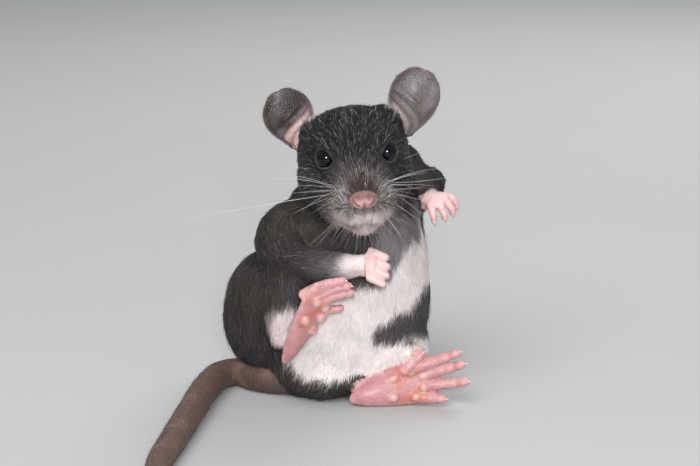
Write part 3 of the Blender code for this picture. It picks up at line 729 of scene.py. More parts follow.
@dataclass(frozen=True)
class Paw:
    """The bones of a paw: where its digits run and where its pads sit."""

    name: str
    base: tuple
    far: tuple
    under_side: tuple
    width: float
    bends: tuple
    spread: float = 0.0
    slant: float = 0.0
    fingers: tuple = (2.6, 2.3, 1.8)
    knuckles: float = 1.0
    toes: tuple = ()
    spots: tuple = ((0.35, 0.28), (0.3, -0.28), (0.8, 0.26), (0.85, 0.0), (0.8, -0.28))
    toe_radius: float = 1.22
    claw_length: float = 1.9
    claw_radius: float = 0.40
    pad_radius: float = 1.5
    pad_glow: float = 0.6
    palm: tuple = ((-0.30, 0.0, 0.45, 0.85, 1.06), (0.30, 0.33, 0.42, 0.46, 0.38), (1.9, 1.9, 1.9, 1.6, 1.2))
    sole: tuple = (
        (-0.08, 0.05, 0.25, 0.55, 0.80, 1.0, 1.10), (0.15, 0.25, 0.34, 0.42, 0.47, 0.48, 0.40),
        (1.3, 2.1, 2.3, 2.0, 1.8, 1.6, 1.2),
    )
    sole_tint: tuple = (0.47, 0.222, 0.228)
    hollow_tint: tuple = (0.52, 0.155, 0.092)
    pad_tint: tuple = (0.80, 0.60, 0.52)

    @property
    def is_foot(self) -> bool:
        """True for a hind foot."""
        return self.name.startswith("foot")

    def axes(self) -> tuple[Vector, Vector, Vector, float]:
        """The ways ahead, under and inwards, and the length from heel to ball."""
        ahead = Vector(self.far) - Vector(self.base)
        length = ahead.length
        ahead.normalize()
        under = Vector(self.under_side)
        under = (under - ahead * under.dot(ahead)).normalized()
        inner = under.cross(ahead) if self.name.endswith("left") else ahead.cross(under)
        return ahead, under, inner, length

    def measured(self, places: np.ndarray) -> tuple[np.ndarray, np.ndarray, np.ndarray]:
        """How far places lie ahead of the heel, inwards, and under the bones."""
        ahead, under, inner, _ = self.axes()
        local = places - np.array(self.base)
        return local @ np.array(ahead), local @ np.array(inner), local @ np.array(under)

    def pads(self) -> list[Vector]:
        """The middles of the pads."""
        ahead, under, inner, length = self.axes()
        drop = 2.2 if self.is_foot else 2.0
        return [
            Vector(self.base) + ahead * (length * along) + inner * (self.width * aside) + under * drop
            for along, aside in self.spots
        ]

    def flesh(self, made: bmesh.types.BMesh) -> None:
        """Adds the palm, the pads and the jointed digits as closed shapes that overlap."""
        ahead, under, inner, length = self.axes()
        turn = Matrix((inner, ahead, inner.cross(ahead))).transposed().to_4x4()
        base = Vector(self.base)

        def ball(place: Vector, radii: tuple, detail: int = 2) -> None:
            shape = Matrix.Translation(place) @ turn @ Matrix.Diagonal((*radii, 1.0))
            bmesh.ops.create_icosphere(made, subdivisions=detail, radius=1.0, matrix=shape)

        shares, halves, deeps = self.sole if self.is_foot else self.palm
        last = shares[-1] if self.is_foot else self.knuckles + 0.06
        for share in np.linspace(shares[0], last, 26):
            half = float(np.interp(share, shares, halves)) * self.width
            deep = float(np.interp(share, shares, deeps))
            ball(base + ahead * (length * share) - under * 0.25, (half, 1.3 + 0.06 * length, deep), 3)
        for pad in self.pads():
            size = self.pad_radius
            ball(pad - under * (0.72 * size), (1.25 * size, 1.45 * size, 0.75 * size), 3)
        if self.is_foot:
            for k in range(6):
                ball(base - under * (1.0 + 1.1 * k) + ahead * 1.5, (2.2 + 0.2 * k,) * 3)
        for points, way, inward in self.digits():
            thick = self.toe_radius * (0.84 if len(points) == 3 else 1.0)
            for number, (a, b) in enumerate(zip(points, points[1:])):
                for k in range(7):
                    t = k / 6.0
                    size = thick * (1.0 - 0.125 * (number + t)) * (0.95 + 0.07 * math.sin(math.pi * t))
                    ball(a.lerp(b, t) + inward * (0.20 * math.sin(math.pi * t)), (size,) * 3)
            size = thick * 0.70
            ball(points[-1] - way * (0.6 * size) + inward * (0.25 * size), (size, 1.25 * size, size))

    def owns(self, places: np.ndarray) -> np.ndarray:
        """True where a place lies on the flesh of this paw."""
        along, aside, deep = self.measured(places)
        length = self.axes()[3]
        half = self.width * np.interp(along / length, (0.0, 0.5, 1.0), (0.27, 0.43, 0.52)) + 0.3
        sole = (along > 0.5) & (along < 1.15 * length) & (np.abs(aside) < half) & (np.abs(deep - 0.9) < 2.4)
        return (sole & self.is_foot) | (self.bone_distance(places) < self.toe_radius * 1.15)

    def covers(self, places: np.ndarray) -> np.ndarray:
        """True where a place lies before the sole or on it, so that no hair may end there."""
        along, aside, deep = self.measured(places)
        length = self.axes()[3]
        reach = length + (7.0 if self.is_foot else 4.0)
        half = self.width * np.interp(along / length, (0.0, 0.5, 1.0), (0.30, 0.44, 0.54))
        found = (along > -0.5) & (along < reach) & (np.abs(aside) < half) & (deep > -1.2) & (deep < 7.0)
        return found | (self.bone_distance(places) < self.toe_radius + 0.4)

    def bone_distance(self, places: np.ndarray) -> np.ndarray:
        """Distance from places to the nearest bone of the digits."""
        return np.min([line_distance(places, points) for points, _, _ in self.digits()], axis=0)

    def digits(self) -> list[tuple[list[Vector], Vector, Vector]]:
        """The joints of each digit, and the ways that its tip and its pad point."""
        ahead, under, inner, length = self.axes()
        found = []
        base = Vector(self.base)
        if self.is_foot:
            for along, aside, splay, drop, lengths in self.toes:
                root = base + ahead * (length * along) + inner * (self.width * aside) + under * drop
                turn = math.radians(splay)
                way = ahead * math.cos(turn) + inner * math.sin(turn)
                found.append(self.bent(root - way * 1.2, way, under, (lengths[0] + 1.2, *lengths[1:])))
            return found
        for k in range(4):
            across = 1.0 - 2.0 * k / 3.0
            root = base + ahead * (length * (self.knuckles - 0.12 * abs(across)))
            root += inner * (self.width * 0.36 * across)
            turn = math.radians(self.spread * across + self.slant)
            way = ahead * math.cos(turn) + inner * math.sin(turn)
            first, second, third = self.fingers
            lengths = (first - 0.4 * abs(across), second - 0.3 * abs(across), third)
            found.append(self.bent(root - under * 0.2, way, under, lengths))
        return found

    def bent(self, root: Vector, ahead: Vector, curl: Vector, lengths: tuple) -> tuple[list, Vector, Vector]:
        """One digit that bends at its joints."""
        way = ahead.normalized()
        inward = (curl - way * curl.dot(way)).normalized()
        axis = way.cross(inward)
        points = [root]
        for length, bend in zip(lengths, self.bends):
            way = Matrix.Rotation(math.radians(bend), 3, axis) @ way
            points.append(points[-1] + way * length)
        inward = Matrix.Rotation(math.radians(sum(self.bends[: len(lengths)])), 3, axis) @ inward
        return points, way, inward

    def claw_lines(self) -> list:
        """Lines and radii of the claws."""
        lines = []
        for points, way, inward in self.digits():
            start = points[-1] - way * 0.55
            reach = 0.55 + self.claw_length
            knots, sizes = [], []
            for k in range(7):
                t = k / 6.0
                knots.append(start + way * (reach * t) + inward * (0.75 * t**2.2) - inward * (0.35 * (1.0 - t)))
                sizes.append(self.claw_radius * (1.0 - t**1.6) + 0.05)
            lines.append((knots, sizes))
        return lines

    def paint(self, places: np.ndarray) -> tuple[np.ndarray, np.ndarray]:
        """Tints and ring phases for skin on this paw.

        Args:
            places: Where, in millimetres.

        Returns:
            One colour each, and one number each that grows along the digits.
        """
        length = self.axes()[3]
        along, _, depth = self.measured(places)
        sole = ease(depth + ripple(places, 2.0, 41) * 0.5, -0.4, 1.3)
        hollow = ease(along, length * 0.35, length * 0.6) * ease(length * 1.1 - along, 0.0, 3.0)
        near = np.min([point_distance(places, pad) for pad in self.pads()], axis=0)
        top = ease(self.pad_radius + 0.9 + ripple(places, 1.4, 47) * 0.6 - near, 0.0, 1.8)
        rings = np.zeros(len(places))
        best = np.full(len(places), FAR_AWAY)
        for points, _, _ in self.digits():
            travelled = 0.0
            for a, b in zip(points, points[1:]):
                away = segment_distance(places, a, b)
                way = np.array((b - a).normalized())
                phase = travelled + (places - np.array(a)) @ way
                closer = away < best
                rings = np.where(closer, np.where(away < 1.9, phase, 0.0), rings)
                best = np.minimum(best, away)
                travelled += (b - a).length
        digit = ease(2.2 - best, 0.0, 0.9) * (along > length * 0.6)
        tint = painted(
            len(places), (0.58, 0.335, 0.325) if self.is_foot else (0.74, 0.52, 0.505),
            (self.sole_tint, sole * 0.9),
            (self.hollow_tint, hollow * sole * ease(ripple(places, 2.6, 43), -0.5, 0.8) * 0.7),
            (self.pad_tint, top * self.pad_glow),
            ((0.66, 0.385, 0.375) if self.is_foot else (0.79, 0.55, 0.535), digit * 0.7),
        )
        return tint, rings / 0.85


PAWS = (
    Paw(
        "foot_right", (-16.2, -26.0, 17.2), (-7.8, -29.4, 34.4), (0.42, -0.88, -0.20), 9.0, (3, 10, 12),
        toes=(
            (0.76, 0.34, 57.0, 0.3, (2.7, 2.3)),
            (0.95, 0.15, 52.0, 0.2, (3.3, 2.7, 1.9)),
            (1.00, -0.04, 48.0, -0.3, (3.6, 2.8, 2.0)),
            (1.03, -0.21, 44.0, -0.9, (3.5, 2.8, 2.0)),
            (0.96, -0.34, 38.0, -1.6, (3.0, 2.4, 1.7)),
        ),
        spots=((0.58, -0.16), (0.47, 0.26), (0.92, -0.08), (0.86, 0.26), (0.68, 0.32)),
        toe_radius=1.6,
        claw_length=1.2,
        pad_radius=1.2,
    ),
    Paw(
        "foot_left", (3.2, -21.0, 2.9), (20.2, -18.5, 6.6), (0.02, -0.95, 0.30), 12.4, (4, 14, 16),
        toes=(
            (0.80, 0.37, 30.0, 2.0, (2.5, 2.4)),
            (1.00, 0.32, 6.0, 1.3, (4.6, 3.8, 3.0)),
            (1.08, 0.11, 2.0, 0.5, (4.4, 3.4, 2.6)),
            (1.06, -0.14, -8.0, 0.0, (4.4, 3.5, 2.8)),
            (0.92, -0.36, -18.0, 0.0, (2.4, 2.0, 1.6)),
        ),
        spots=((0.55, 0.20), (0.48, -0.20), (0.84, 0.25), (1.00, 0.10), (0.98, -0.14), (0.82, -0.31)),
        toe_radius=1.9,
        pad_radius=1.1,
        pad_glow=0.4,
    ),
    Paw(
        "hand_right", (3.8, -24.5, 41.6), (8.4, -26.2, 42.0), (0.1, 0.85, -0.45), 9.6, (16, 86, 66), 3.0, -20.0,
        (4.8, 2.7, 1.6), 0.42, toe_radius=1.24, claw_length=1.7, claw_radius=0.34, pad_radius=1.1,
    ),
    Paw(
        "hand_left", (20.6, -6.4, 55.4), (24.6, -10.6, 55.2), (0.05, 0.35, -0.95), 8.0, (24, 36, 30), 36.0, 0.0,
        (2.5, 2.1, 1.6), 0.95, toe_radius=1.3, claw_length=1.7, claw_radius=0.36, pad_radius=1.1,
    ),
)


# Skin


@dataclass
class Skin:
    """One skin over all the flesh nodes, inside them by the depth of the coat."""

    furred: tuple = (
        "torso", "neck", "head", "foreleg_right", "foreleg_left", "hind_leg_right", "hind_leg_left",
    )
    voxel: float = 0.31
    swell: float = 0.34
    body_depth: float = 1.15
    head_depth: float = 0.55
    triangles: int = 186000
    mouth: tuple = ((-6.2, 11.6, -5.6), (-3.6, 8.0, -7.2), (0.0, 5.6, -7.3), (3.6, 8.0, -7.2), (6.2, 11.6, -5.6))
    cleft: tuple = ((0.0, 0.2, -2.2), (0.0, 2.2, -4.4), (0.0, 4.6, -6.6))
    fills: tuple = (
        ((14.4, 1.0, 61.8), (6.4, 6.5, 7.6)), ((19.8, -0.5, 58.6), (5.0, 5.2, 5.2)),
        ((8.0, -6.0, 75.6), (6.5, 6.0, 6.3)), ((-6.9, -5.5, 73.8), (4.7, 5.0, 4.9)),
        ((-2.0, -22.4, 40.2), (7.5, 3.9, 4.4)), ((3.6, -24.0, 41.2), (3.0, 2.6, 4.2)),
    )
    body_passes: int = 26
    head_passes: int = 4
    sink_passes: int = 14
    arm_depth: float = 0.75
    eye_swell: float = 0.6
    quick_voxel: float = 1.6
    foot_back: float = 1.4
    foot_heel: float = 0.3
    hand_wrist: float = 0.9
    lid_floor: float = 0.5
    lid_ledge: float = 0.16
    under_coat: float = 0.72
    flesh_tint: tuple = (0.22, 0.13, 0.12)
    nose_rim: tuple = (0.24, 0.15, 0.135)
    eye_rim: tuple = (0.012, 0.010, 0.011)
    # Painted shade in the creases of the mouth and the cleft under the nose.
    crease_shade_tint: tuple = (0.10, 0.040, 0.036)
    names: np.ndarray = field(default_factory=lambda: np.array([]))

    def shape(self, shop: Workshop) -> None:
        """Fuses the nodes, smooths the joints between them and sinks the skin under the coat.

        Args:
            shop: The workshop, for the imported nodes.
        """
        order = [*self.furred, *(p.name for p in PAWS), "eye_left", "eye_right"]
        joined = bmesh.new()
        corners, faces, owners = [], [], []
        for number, name in enumerate(order):
            node = shop.drawing.lift(name)
            node.verts.ensure_lookup_table()
            start = len(corners)
            corners.extend(v.co.copy() for v in node.verts)
            for face in node.faces:
                faces.append([start + v.index for v in face.verts])
                owners.append(number)
            for vert in node.verts:
                vert.co += vert.normal * (self.eye_swell if name.startswith("eye") else self.swell)
            part = made_mesh("part", node)
            if not name.startswith(("hand", "foot")):
                joined.from_mesh(part)
        for paw in PAWS:
            paw.flesh(joined)
        for centre, radii in self.fills:
            shape = Matrix.Translation(centre) @ Matrix.Diagonal((*radii, 1.0))
            bmesh.ops.create_icosphere(joined, subdivisions=4, radius=1.0, matrix=shape)
        mesh = made_mesh("skin_raw", joined)
        nodes = BVHTree.FromPolygons(corners, faces)
        raw = new_object("skin_raw", mesh)
        remesh = raw.modifiers.new("fuse", "REMESH")
        remesh.mode = "VOXEL"
        remesh.voxel_size = self.voxel * 1.0
        mesh = applied(raw)
        labels = self.owners_of(coordinates(mesh), nodes, owners)
        body = np.isin(labels, [order.index(n) for n in self.furred if n != "head"])
        head = np.isin(labels, [order.index(n) for n in ("head", "eye_left", "eye_right")])
        places = self.soften(mesh, coordinates(mesh), np.where(body, 0.5, 0.0), self.body_passes)
        places = self.soften(mesh, places, np.where(head, 0.30, 0.34), self.head_passes)
        put_coordinates(mesh, places)
        thin = new_object("skin_thin", mesh)
        group = thin.vertex_groups.new(name="plain")
        for share, rows in ((1.0, body), (0.45, head)):
            group.add(np.nonzero(rows)[0].tolist(), share, "REPLACE")
        faces_now = sum(len(p.vertices) - 2 for p in mesh.polygons)
        collapse = thin.modifiers.new("thin", "DECIMATE")
        collapse.ratio = min(1.0, self.triangles / faces_now)
        collapse.vertex_group = "plain"
        collapse.use_collapse_triangulate = True
        self.mesh = applied(thin)
        places, normals = coordinates(self.mesh), coordinates(self.mesh, "normal")
        labels = self.owners_of(places, nodes, owners)
        self.names = np.array(order)[labels]
        self.names[np.char.startswith(self.names.astype(str), "eye")] = "head"
        for paw in PAWS:
            self.names[paw.owns(places) & ~np.isin(self.names, ("torso", "head"))] = paw.name
            along, _, deep = paw.measured(places)
            behind = along < self.hand_wrist
            if paw.is_foot:
                behind = (deep < -self.foot_back) & (along < self.foot_heel * paw.axes()[3])
            leg = paw.name.replace("foot", "hind_leg").replace("hand", "foreleg")
            self.names[(self.names == paw.name) & behind] = leg
        local = carry(head_matrix().inverted(), places)
        depth = np.full(len(places), self.body_depth)
        on_head = self.names == "head"
        depth[on_head] = (self.head_depth * ease(local[:, 1], 2.0, 16.0) + 0.12)[on_head]
        limb = np.char.startswith(self.names.astype(str), "foreleg")
        depth[limb] = self.arm_depth
        paws = np.isin(self.names, [p.name for p in PAWS])
        depth[paws] = 0.0
        for _ in range(self.sink_passes):
            depth = 0.5 * depth + 0.5 * self.around(self.mesh, depth[:, None])[:, 0]
            depth[paws] = np.minimum(depth[paws], 0.1)
        swell = np.where(paws, 0.0, self.swell)
        places = places - normals * (swell + depth)[:, None]
        places = self.details(places, normals)
        places[:, 2] = np.maximum(places[:, 2], FLOOR_GAP)
        put_coordinates(self.mesh, places)
        self.paws = paws

    def details(self, places: np.ndarray, normals: np.ndarray) -> np.ndarray:
        """Opens the lids and presses in the mouth and the cleft under the nose.

        Args:
            places: The skin's vertices.
            normals: Their normals.

        Returns:
            The vertices' new places.
        """
        for side in Side:
            turn = eye_frame(side)
            local = carry(turn.inverted(), places)
            away = np.linalg.norm(local, axis=1)
            ahead = local / np.maximum(away, 1e-6)[:, None]
            reach = almond(ahead)
            near = (away < 6.0) & (ahead[:, 2] > 0.0)
            floor = EYE_RADIUS - self.lid_floor + 1.05 * ease(reach, 0.86, 1.10) + 0.25 * ease(reach, 1.1, 1.7)
            rim = np.where(reach < 1.35, np.minimum(away, floor), away)
            rim = np.where((reach > 0.95) & (reach < 1.7), np.maximum(rim, EYE_RADIUS + self.lid_ledge), rim)
            goal = carry(turn, ahead * rim[:, None])
            places = np.where(near[:, None] & (reach < 1.7)[:, None], goal, places)
        for line, push, width in ((self.mouth, 0.6, 0.34), (self.cleft, 0.35, 0.28)):
            near = self.groove(places, line)
            press = push * np.exp(-((np.maximum(near - 0.45, 0.0) / width) ** 2)) * (near < 2.5)
            places = places - normals * press[:, None] * (self.names == "head")[:, None]
        return places

    def groove(self, places: np.ndarray, line: tuple) -> np.ndarray:
        """Distance from places to a line that is drawn on the head and smoothed."""
        points, _ = smooth_line(line, [0.0] * len(line), 5)
        return line_distance(places, carry(head_matrix(), points))

    def around(self, mesh: bpy.types.Mesh, values: np.ndarray) -> np.ndarray:
        """The mean of each vertex's neighbours."""
        edges = np.empty(len(mesh.edges) * 2, np.int32)
        mesh.edges.foreach_get("vertices", edges)
        a, b = edges.reshape(-1, 2).T
        count = np.bincount(a, minlength=len(values)) + np.bincount(b, minlength=len(values))
        total = np.empty_like(values)
        for k in range(values.shape[1]):
            total[:, k] = np.bincount(a, values[b, k], len(values)) + np.bincount(b, values[a, k], len(values))
        return total / np.maximum(count, 1)[:, None]

    def soften(self, mesh: bpy.types.Mesh, values: np.ndarray, weight: np.ndarray, passes: int) -> np.ndarray:
        """Values eased towards their neighbours, by a weight for each vertex."""
        for _ in range(passes):
            values = values + (self.around(mesh, values) - values) * weight[:, None]
        return values

    def owners_of(self, places: np.ndarray, nodes: BVHTree, owners: list) -> np.ndarray:
        """The number of the flesh node nearest to each place."""
        return np.array([owners[nodes.find_nearest(p)[2]] for p in places.tolist()])

    def dress(
        self, shop: Workshop, markings: Markings, furred: bpy.types.Material, bare: bpy.types.Material
    ) -> None:
        """Paints the skin and delivers it.

        Args:
            shop: The workshop.
            markings: The coat's colours, which show through it.
            furred: The finish under the coat.
            bare: The finish of the paws and the rim of the nose.
        """
        places, normals = coordinates(self.mesh), coordinates(self.mesh, "normal")
        tint = markings.colours(places, normals, self.names)
        grey = tint.mean(axis=1)
        tint = tint * self.under_coat + np.array(self.flesh_tint) * (grey**1.3)[:, None]
        rings = np.zeros(len(places))
        for paw in PAWS:
            rows = self.names == paw.name
            tint[rows], rings[rows] = paw.paint(places[rows])
        nose = ease(1.25 - pad_reach(carry(head_matrix().inverted(), places)), 0.0, 0.2) * (self.names == "head")
        tint = blend(tint, self.nose_rim, nose)
        for side in Side:
            away = np.linalg.norm(carry(eye_frame(side).inverted(), places), axis=1)
            tint = blend(tint, self.eye_rim, ease(4.9 - away, 0.0, 1.2) * (self.names == "head"))
        # Painted shade: the creases of the mouth and the cleft are darkened.
        for line in (self.mouth, self.cleft):
            crease_shade = ease(0.95 - self.groove(places, line), 0.0, 0.5) * (self.names == "head") * 0.7
            tint = blend(tint, self.crease_shade_tint, crease_shade)
        put_colours(self.mesh, tint)
        put_values(self.mesh, "Rings", rings)
        bare_face = np.zeros(len(self.mesh.polygons), np.int32)
        first = np.empty(len(self.mesh.polygons), np.int32)
        self.mesh.polygons.foreach_get("loop_start", first)
        loops = np.empty(len(self.mesh.loops), np.int32)
        self.mesh.loops.foreach_get("vertex_index", loops)
        corner = loops[first]
        bare_face[self.paws[corner] | (nose[corner] > 0.5)] = 1
        self.mesh.materials.clear()
        nodes = (*self.furred, *(p.name for p in PAWS))
        shop.deliver("skin", self.mesh, [furred, bare], nodes)
        self.mesh.polygons.foreach_set("material_index", bare_face)


def almond(ahead: np.ndarray) -> np.ndarray:
    """How far out of the lids' opening, which is narrower above, a direction is; 1 is the rim."""
    x, y = ahead[:, 0] * EYE_RADIUS, ahead[:, 1] * EYE_RADIUS
    wide, high = LID_OPENING
    wide = wide * (1.0 - LID_TAPER * np.clip(y / high, -1.0, 1.0))
    return np.sqrt((x / wide) ** 2 + (y / high) ** 2)


# Coat


@dataclass(frozen=True)
class CoatPiece:
    """One mesh of tufts: where it grows and the axis that its unwrap turns about."""

    name: str
    parts: tuple
    origin: tuple
    axis: tuple
    front: tuple
    sector: tuple = (-180.0, 180.0)


HEAD_TURN = ((3.2, -20.0, 64.0), (0.1, -0.98, 0.17), (0.0, 0.17, 0.98))
TRUNK_TURN = ((0.0, 1.0, 30.0), (0.0, 0.0, 1.0), (0.0, -1.0, 0.0))


@dataclass
class Coat:
    """Tufts over the whole skin, each a closed three-sided spike that follows its curve."""

    seed: int = 11
    density: float = 7.6
    quick_share: float = 0.35
    guard_share: float = 0.07
    clump: float = 9.0
    most_tufts: int = 19800
    swirl: float = 0.22
    stray: float = 0.16
    longest: tuple = (0.72, 1.22)
    widest: tuple = (0.75, 1.25)
    guard_long: float = 1.28
    guard_wide: float = 0.8
    guard_rise: float = 1.35
    guard_pull: float = 0.1
    clump_pull: float = 0.34
    root_depth: float = 0.12
    flow_passes: int = 24
    flow_pull: float = 0.6
    eye_clear: float = 8.5
    pale_tint: tuple = (1.0, 0.96, 0.945)
    pieces: tuple = (
        CoatPiece("coat_head_left", ("head",), *HEAD_TURN, (0.0, 180.0)),
        CoatPiece("coat_head_right", ("head",), *HEAD_TURN, (-180.0, 0.0)),
        CoatPiece("coat_neck", ("neck",), (0.0, 0.0, 58.0), (0.0, -0.4, 0.9), (0.0, -0.9, -0.4)),
        CoatPiece("coat_breast", ("torso",), *TRUNK_TURN, (-62.0, 62.0)),
        CoatPiece("coat_back_left", ("torso",), *TRUNK_TURN, (62.0, 180.0)),
        CoatPiece("coat_back_right", ("torso",), *TRUNK_TURN, (-180.0, -62.0)),
        CoatPiece("coat_haunch", ("hind_leg_right",), (-22.0, -4.0, 24.0), (0.0, 0.1, 1.0), (-1.0, -0.2, 0.0)),
        CoatPiece("coat_thigh", ("hind_leg_left",), (11.0, -3.0, 12.0), (0.3, -0.8, 0.1), (0.3, 0.0, 1.0)),
        CoatPiece(
            "coat_arms", ("foreleg_right", "foreleg_left", *(p.name for p in PAWS)), (0.0, -5.0, 46.0),
            (0.98, -0.1, 0.1), (0.0, 0.0, 1.0),
        ),
    )
    streams: tuple = (
        ("head", ((3.7, -34.5, 61.0), (0.6, -6.0, 67.0)), ((3.7, -32.0, 57.0), (2.0, -12.0, 52.0)),
         ((14.0, -14.0, 62.0), (15.0, -2.0, 57.0)), ((-10.0, -14.0, 60.0), (-12.0, -2.0, 54.0))),
        ("neck", ((0.0, 2.0, 70.0), (0.0, 14.0, 58.0)), ((14.0, -2.0, 62.0), (17.0, 4.0, 50.0)),
         ((-13.0, -2.0, 60.0), (-16.0, 4.0, 48.0)), ((3.0, -12.0, 58.0), (4.0, -14.0, 48.0))),
        ("torso", ((0.0, 14.0, 56.0), (-1.0, 22.0, 36.0)), ((-1.0, 22.0, 36.0), (-3.0, 22.0, 18.0)),
         ((-3.0, 22.0, 18.0), (-6.0, 12.0, 2.0)), ((4.0, -14.0, 48.0), (2.0, -18.0, 30.0)),
         ((2.0, -18.0, 30.0), (-5.0, -16.0, 8.0)), ((20.0, 2.0, 48.0), (22.0, 0.0, 14.0)),
         ((-20.0, 4.0, 48.0), (-25.0, 2.0, 14.0))),
        ("foreleg_right", ((-18.0, 3.0, 48.0), (-18.0, -8.0, 41.0)), ((-17.0, -13.0, 39.0), (3.0, -24.0, 42.0))),
        ("foreleg_left", ((12.0, 3.5, 50.0), (22.0, 5.0, 57.0)), ((23.0, 4.0, 57.0), (22.8, -7.0, 55.6))),
        ("hind_leg_right", ((-27.0, 8.0, 36.0), (-30.0, 4.0, 10.0)),
         ((-26.0, -8.0, 32.0), (-26.0, -14.0, 14.0)), ((-16.5, -16.0, 34.0), (-18.2, -22.0, 18.0))),
        ("hind_leg_left", ((16.0, 8.0, 20.0), (18.0, -8.0, 10.0)), ((14.0, -8.0, 20.0), (10.0, -15.0, 9.0)),
         ((15.0, -13.0, 9.0), (4.0, -16.0, 5.0))),
        ("foot_right", ((-16.2, -26.0, 17.2), (-9.6, -29.0, 31.6))),
        ("foot_left", ((3.2, -21.0, 2.9), (20.2, -18.5, 6.6))),
        ("hand_right", ((3.8, -24.5, 41.6), (8.4, -26.2, 42.0))),
        ("hand_left", ((20.6, -6.4, 55.4), (24.6, -10.6, 55.2))),
    )

    def grow(self, shop: Workshop, skin: Skin, markings: Markings, material: bpy.types.Material) -> None:
        """Plants the coat on the finished skin, before the skin is delivered.

        Args:
            shop: The workshop that delivers the pieces.
            skin: The skin, shaped and still in the drawing.
            markings: The coat's colours.
            material: The coat's finish.
        """
        mesh = skin.mesh
        places, normals = coordinates(mesh), coordinates(mesh, "normal")
        flow = self.lie(skin, places, normals)
        length, width, density, lift = self.lengths(skin, places, normals, markings)
        mesh.calc_loop_triangles()
        tri = np.empty(len(mesh.loop_triangles) * 3, np.int32)
        mesh.loop_triangles.foreach_get("vertices", tri)
        tri = tri.reshape(-1, 3)
        a, b, c = (places[tri[:, k]] for k in range(3))
        area = np.linalg.norm(np.cross(b - a, c - a), axis=1) / 2.0
        rng = np.random.default_rng(self.seed)
        want = area * density[tri].mean(axis=1) * self.density * 1.0
        number = np.floor(want + rng.random(len(want))).astype(int)
        face = np.repeat(np.arange(len(tri)), number)
        r1, r2 = np.sqrt(rng.random(len(face))), rng.random(len(face))
        share = np.stack((1.0 - r1, r1 * (1.0 - r2), r1 * r2), axis=1)

        def read(values: np.ndarray) -> np.ndarray:
            return np.einsum("ij,ij...->i...", share, values[tri[face]])

        root, up, way = read(places), unit(read(normals)), read(flow)
        long, wide, raised = read(length), read(width), read(lift)
        part = skin.names[tri[face, 0]]
        surface = BVHTree.FromPolygons(places.tolist(), tri.tolist())
        strands = self.comb(rng, surface, root, up, unit(way), long, wide, raised)
        tint = markings.colours(root, up, part)
        pale = (rng.random(len(root)) < markings.pale_hairs(root, part)) & (tint.mean(axis=1) < 0.25)
        local = carry(head_matrix().inverted(), root[pale])
        near_nose = ease(11.5 - local[:, 1] - 0.5 * np.maximum(local[:, 2], 0.0), 0.0, 6.0)
        strong = np.where(part[pale] == "head", 0.13 + 0.13 * near_nose, 0.06)[:, None]
        strong = strong * rng.uniform(0.3, 1.6, (pale.sum(), 1))
        tint[pale] = tint[pale] * 0.9 + np.array(self.pale_tint) * strong
        clear = np.ones(len(root), bool)
        on_paw = np.isin(part, [p.name for p in PAWS])
        for paw in PAWS:
            clear &= ~(paw.covers(strands["tip"]) | paw.covers(strands["middle"])) | on_paw
        LOG.info("%d tufts, of which %d kept clear of the paws", len(root), (~clear).sum())
        for piece in self.pieces:
            rows = self.rows_of(piece, root, part) & clear
            if rows.sum() > self.most_tufts:
                LOG.warning("%s has %d tufts", piece.name, rows.sum())
            self.plant(shop, piece, rows, root, strands, tint, material)

    def lie(self, skin: Skin, places: np.ndarray, normals: np.ndarray) -> np.ndarray:
        """The way that the coat lies at each vertex of the skin.

        Args:
            skin: The skin.
            places: Its vertices.
            normals: Their normals.

        Returns:
            One row of length one each, along the skin.
        """
        flow = np.zeros_like(places)
        for part, *lines in self.streams:
            rows = skin.names == part
            for a, b in lines:
                away = segment_distance(places[rows], a, b)
                way = np.array((Vector(b) - Vector(a)).normalized())
                flow[rows] += way / (away[:, None] ** 3 + 4.0)
        for _ in range(self.flow_passes):
            flow -= normals * np.sum(flow * normals, axis=1, keepdims=True)
            flow = unit(flow)
            flow = (1.0 - self.flow_pull) * flow + self.flow_pull * skin.around(skin.mesh, flow)
        for side in Side:
            centre = np.array(head_matrix() @ eye_place(side))
            towards = centre - places
            away = np.linalg.norm(towards, axis=1, keepdims=True)
            towards = towards / np.maximum(away, 1e-6)
            push = np.maximum(np.sum(flow * towards, axis=1, keepdims=True), 0.0)
            flow -= towards * push * np.clip((self.eye_clear - away) / 3.5, 0.0, 1.0)
        flow -= normals * np.sum(flow * normals, axis=1, keepdims=True)
        return unit(flow)

    def lengths(self, skin: Skin, places: np.ndarray, normals: np.ndarray, markings: Markings) -> tuple:
        """How long, wide, dense and raised the tufts are at each vertex.

        Args:
            skin: The skin.
            places: Its vertices.
            normals: Their normals.
            markings: The coat's colours, because pale hair is shorter and denser.

        Returns:
            Lengths and widths in millimetres, shares of the full density, and lifts.
        """
        names = skin.names
        local = carry(head_matrix().inverted(), places)
        count = len(places)
        length, width, density, lift = (np.full(count, value) for value in (4.8, 0.20, 1.0, 0.15))
        head = names == "head"
        white = ease(markings.colours(places, normals, names).mean(axis=1), 0.15, 0.5)
        for values, change in ((length, -1.5), (width, -0.05), (density, 0.45), (lift, -0.05)):
            values += change * white
        back = ease(local[:, 1], 1.0, 34.0)
        length[head] = (1.75 + 1.5 * back)[head]
        width[head] = (0.090 + 0.060 * back)[head]
        density[head] = (2.35 - 1.00 * back)[head]
        lift[head] = (0.42 - 0.26 * ease(local[:, 1], 5.0, 17.0))[head]
        fuzz = ease(-local[:, 2], 2.6, 5.6) * ease(13.5 - local[:, 1], 0.0, 5.0) * head
        length += 0.9 * fuzz
        lift += 0.16 * fuzz
        for centre in markings.ear_roots:
            near = ease(5.0 - point_distance(places, centre), 0.0, 3.0)
            length += 0.7 * near
            lift += 0.10 * near
        for values, value in ((length, 4.0), (width, 0.19), (density, 1.1)):
            values[names == "neck"] = value
        for part, near, far, centre in (
            ("foreleg_right", 1.5, 3.2, (4.0, -24.0, 41.8)),
            ("foreleg_left", 1.5, 3.2, (21.0, -6.0, 55.6)),
            ("hind_leg_right", 2.8, 4.6, (-16.8, -24.0, 18.0)),
            ("hind_leg_left", 1.8, 4.2, (4.0, -18.0, 4.5)),
        ):
            rows = names == part
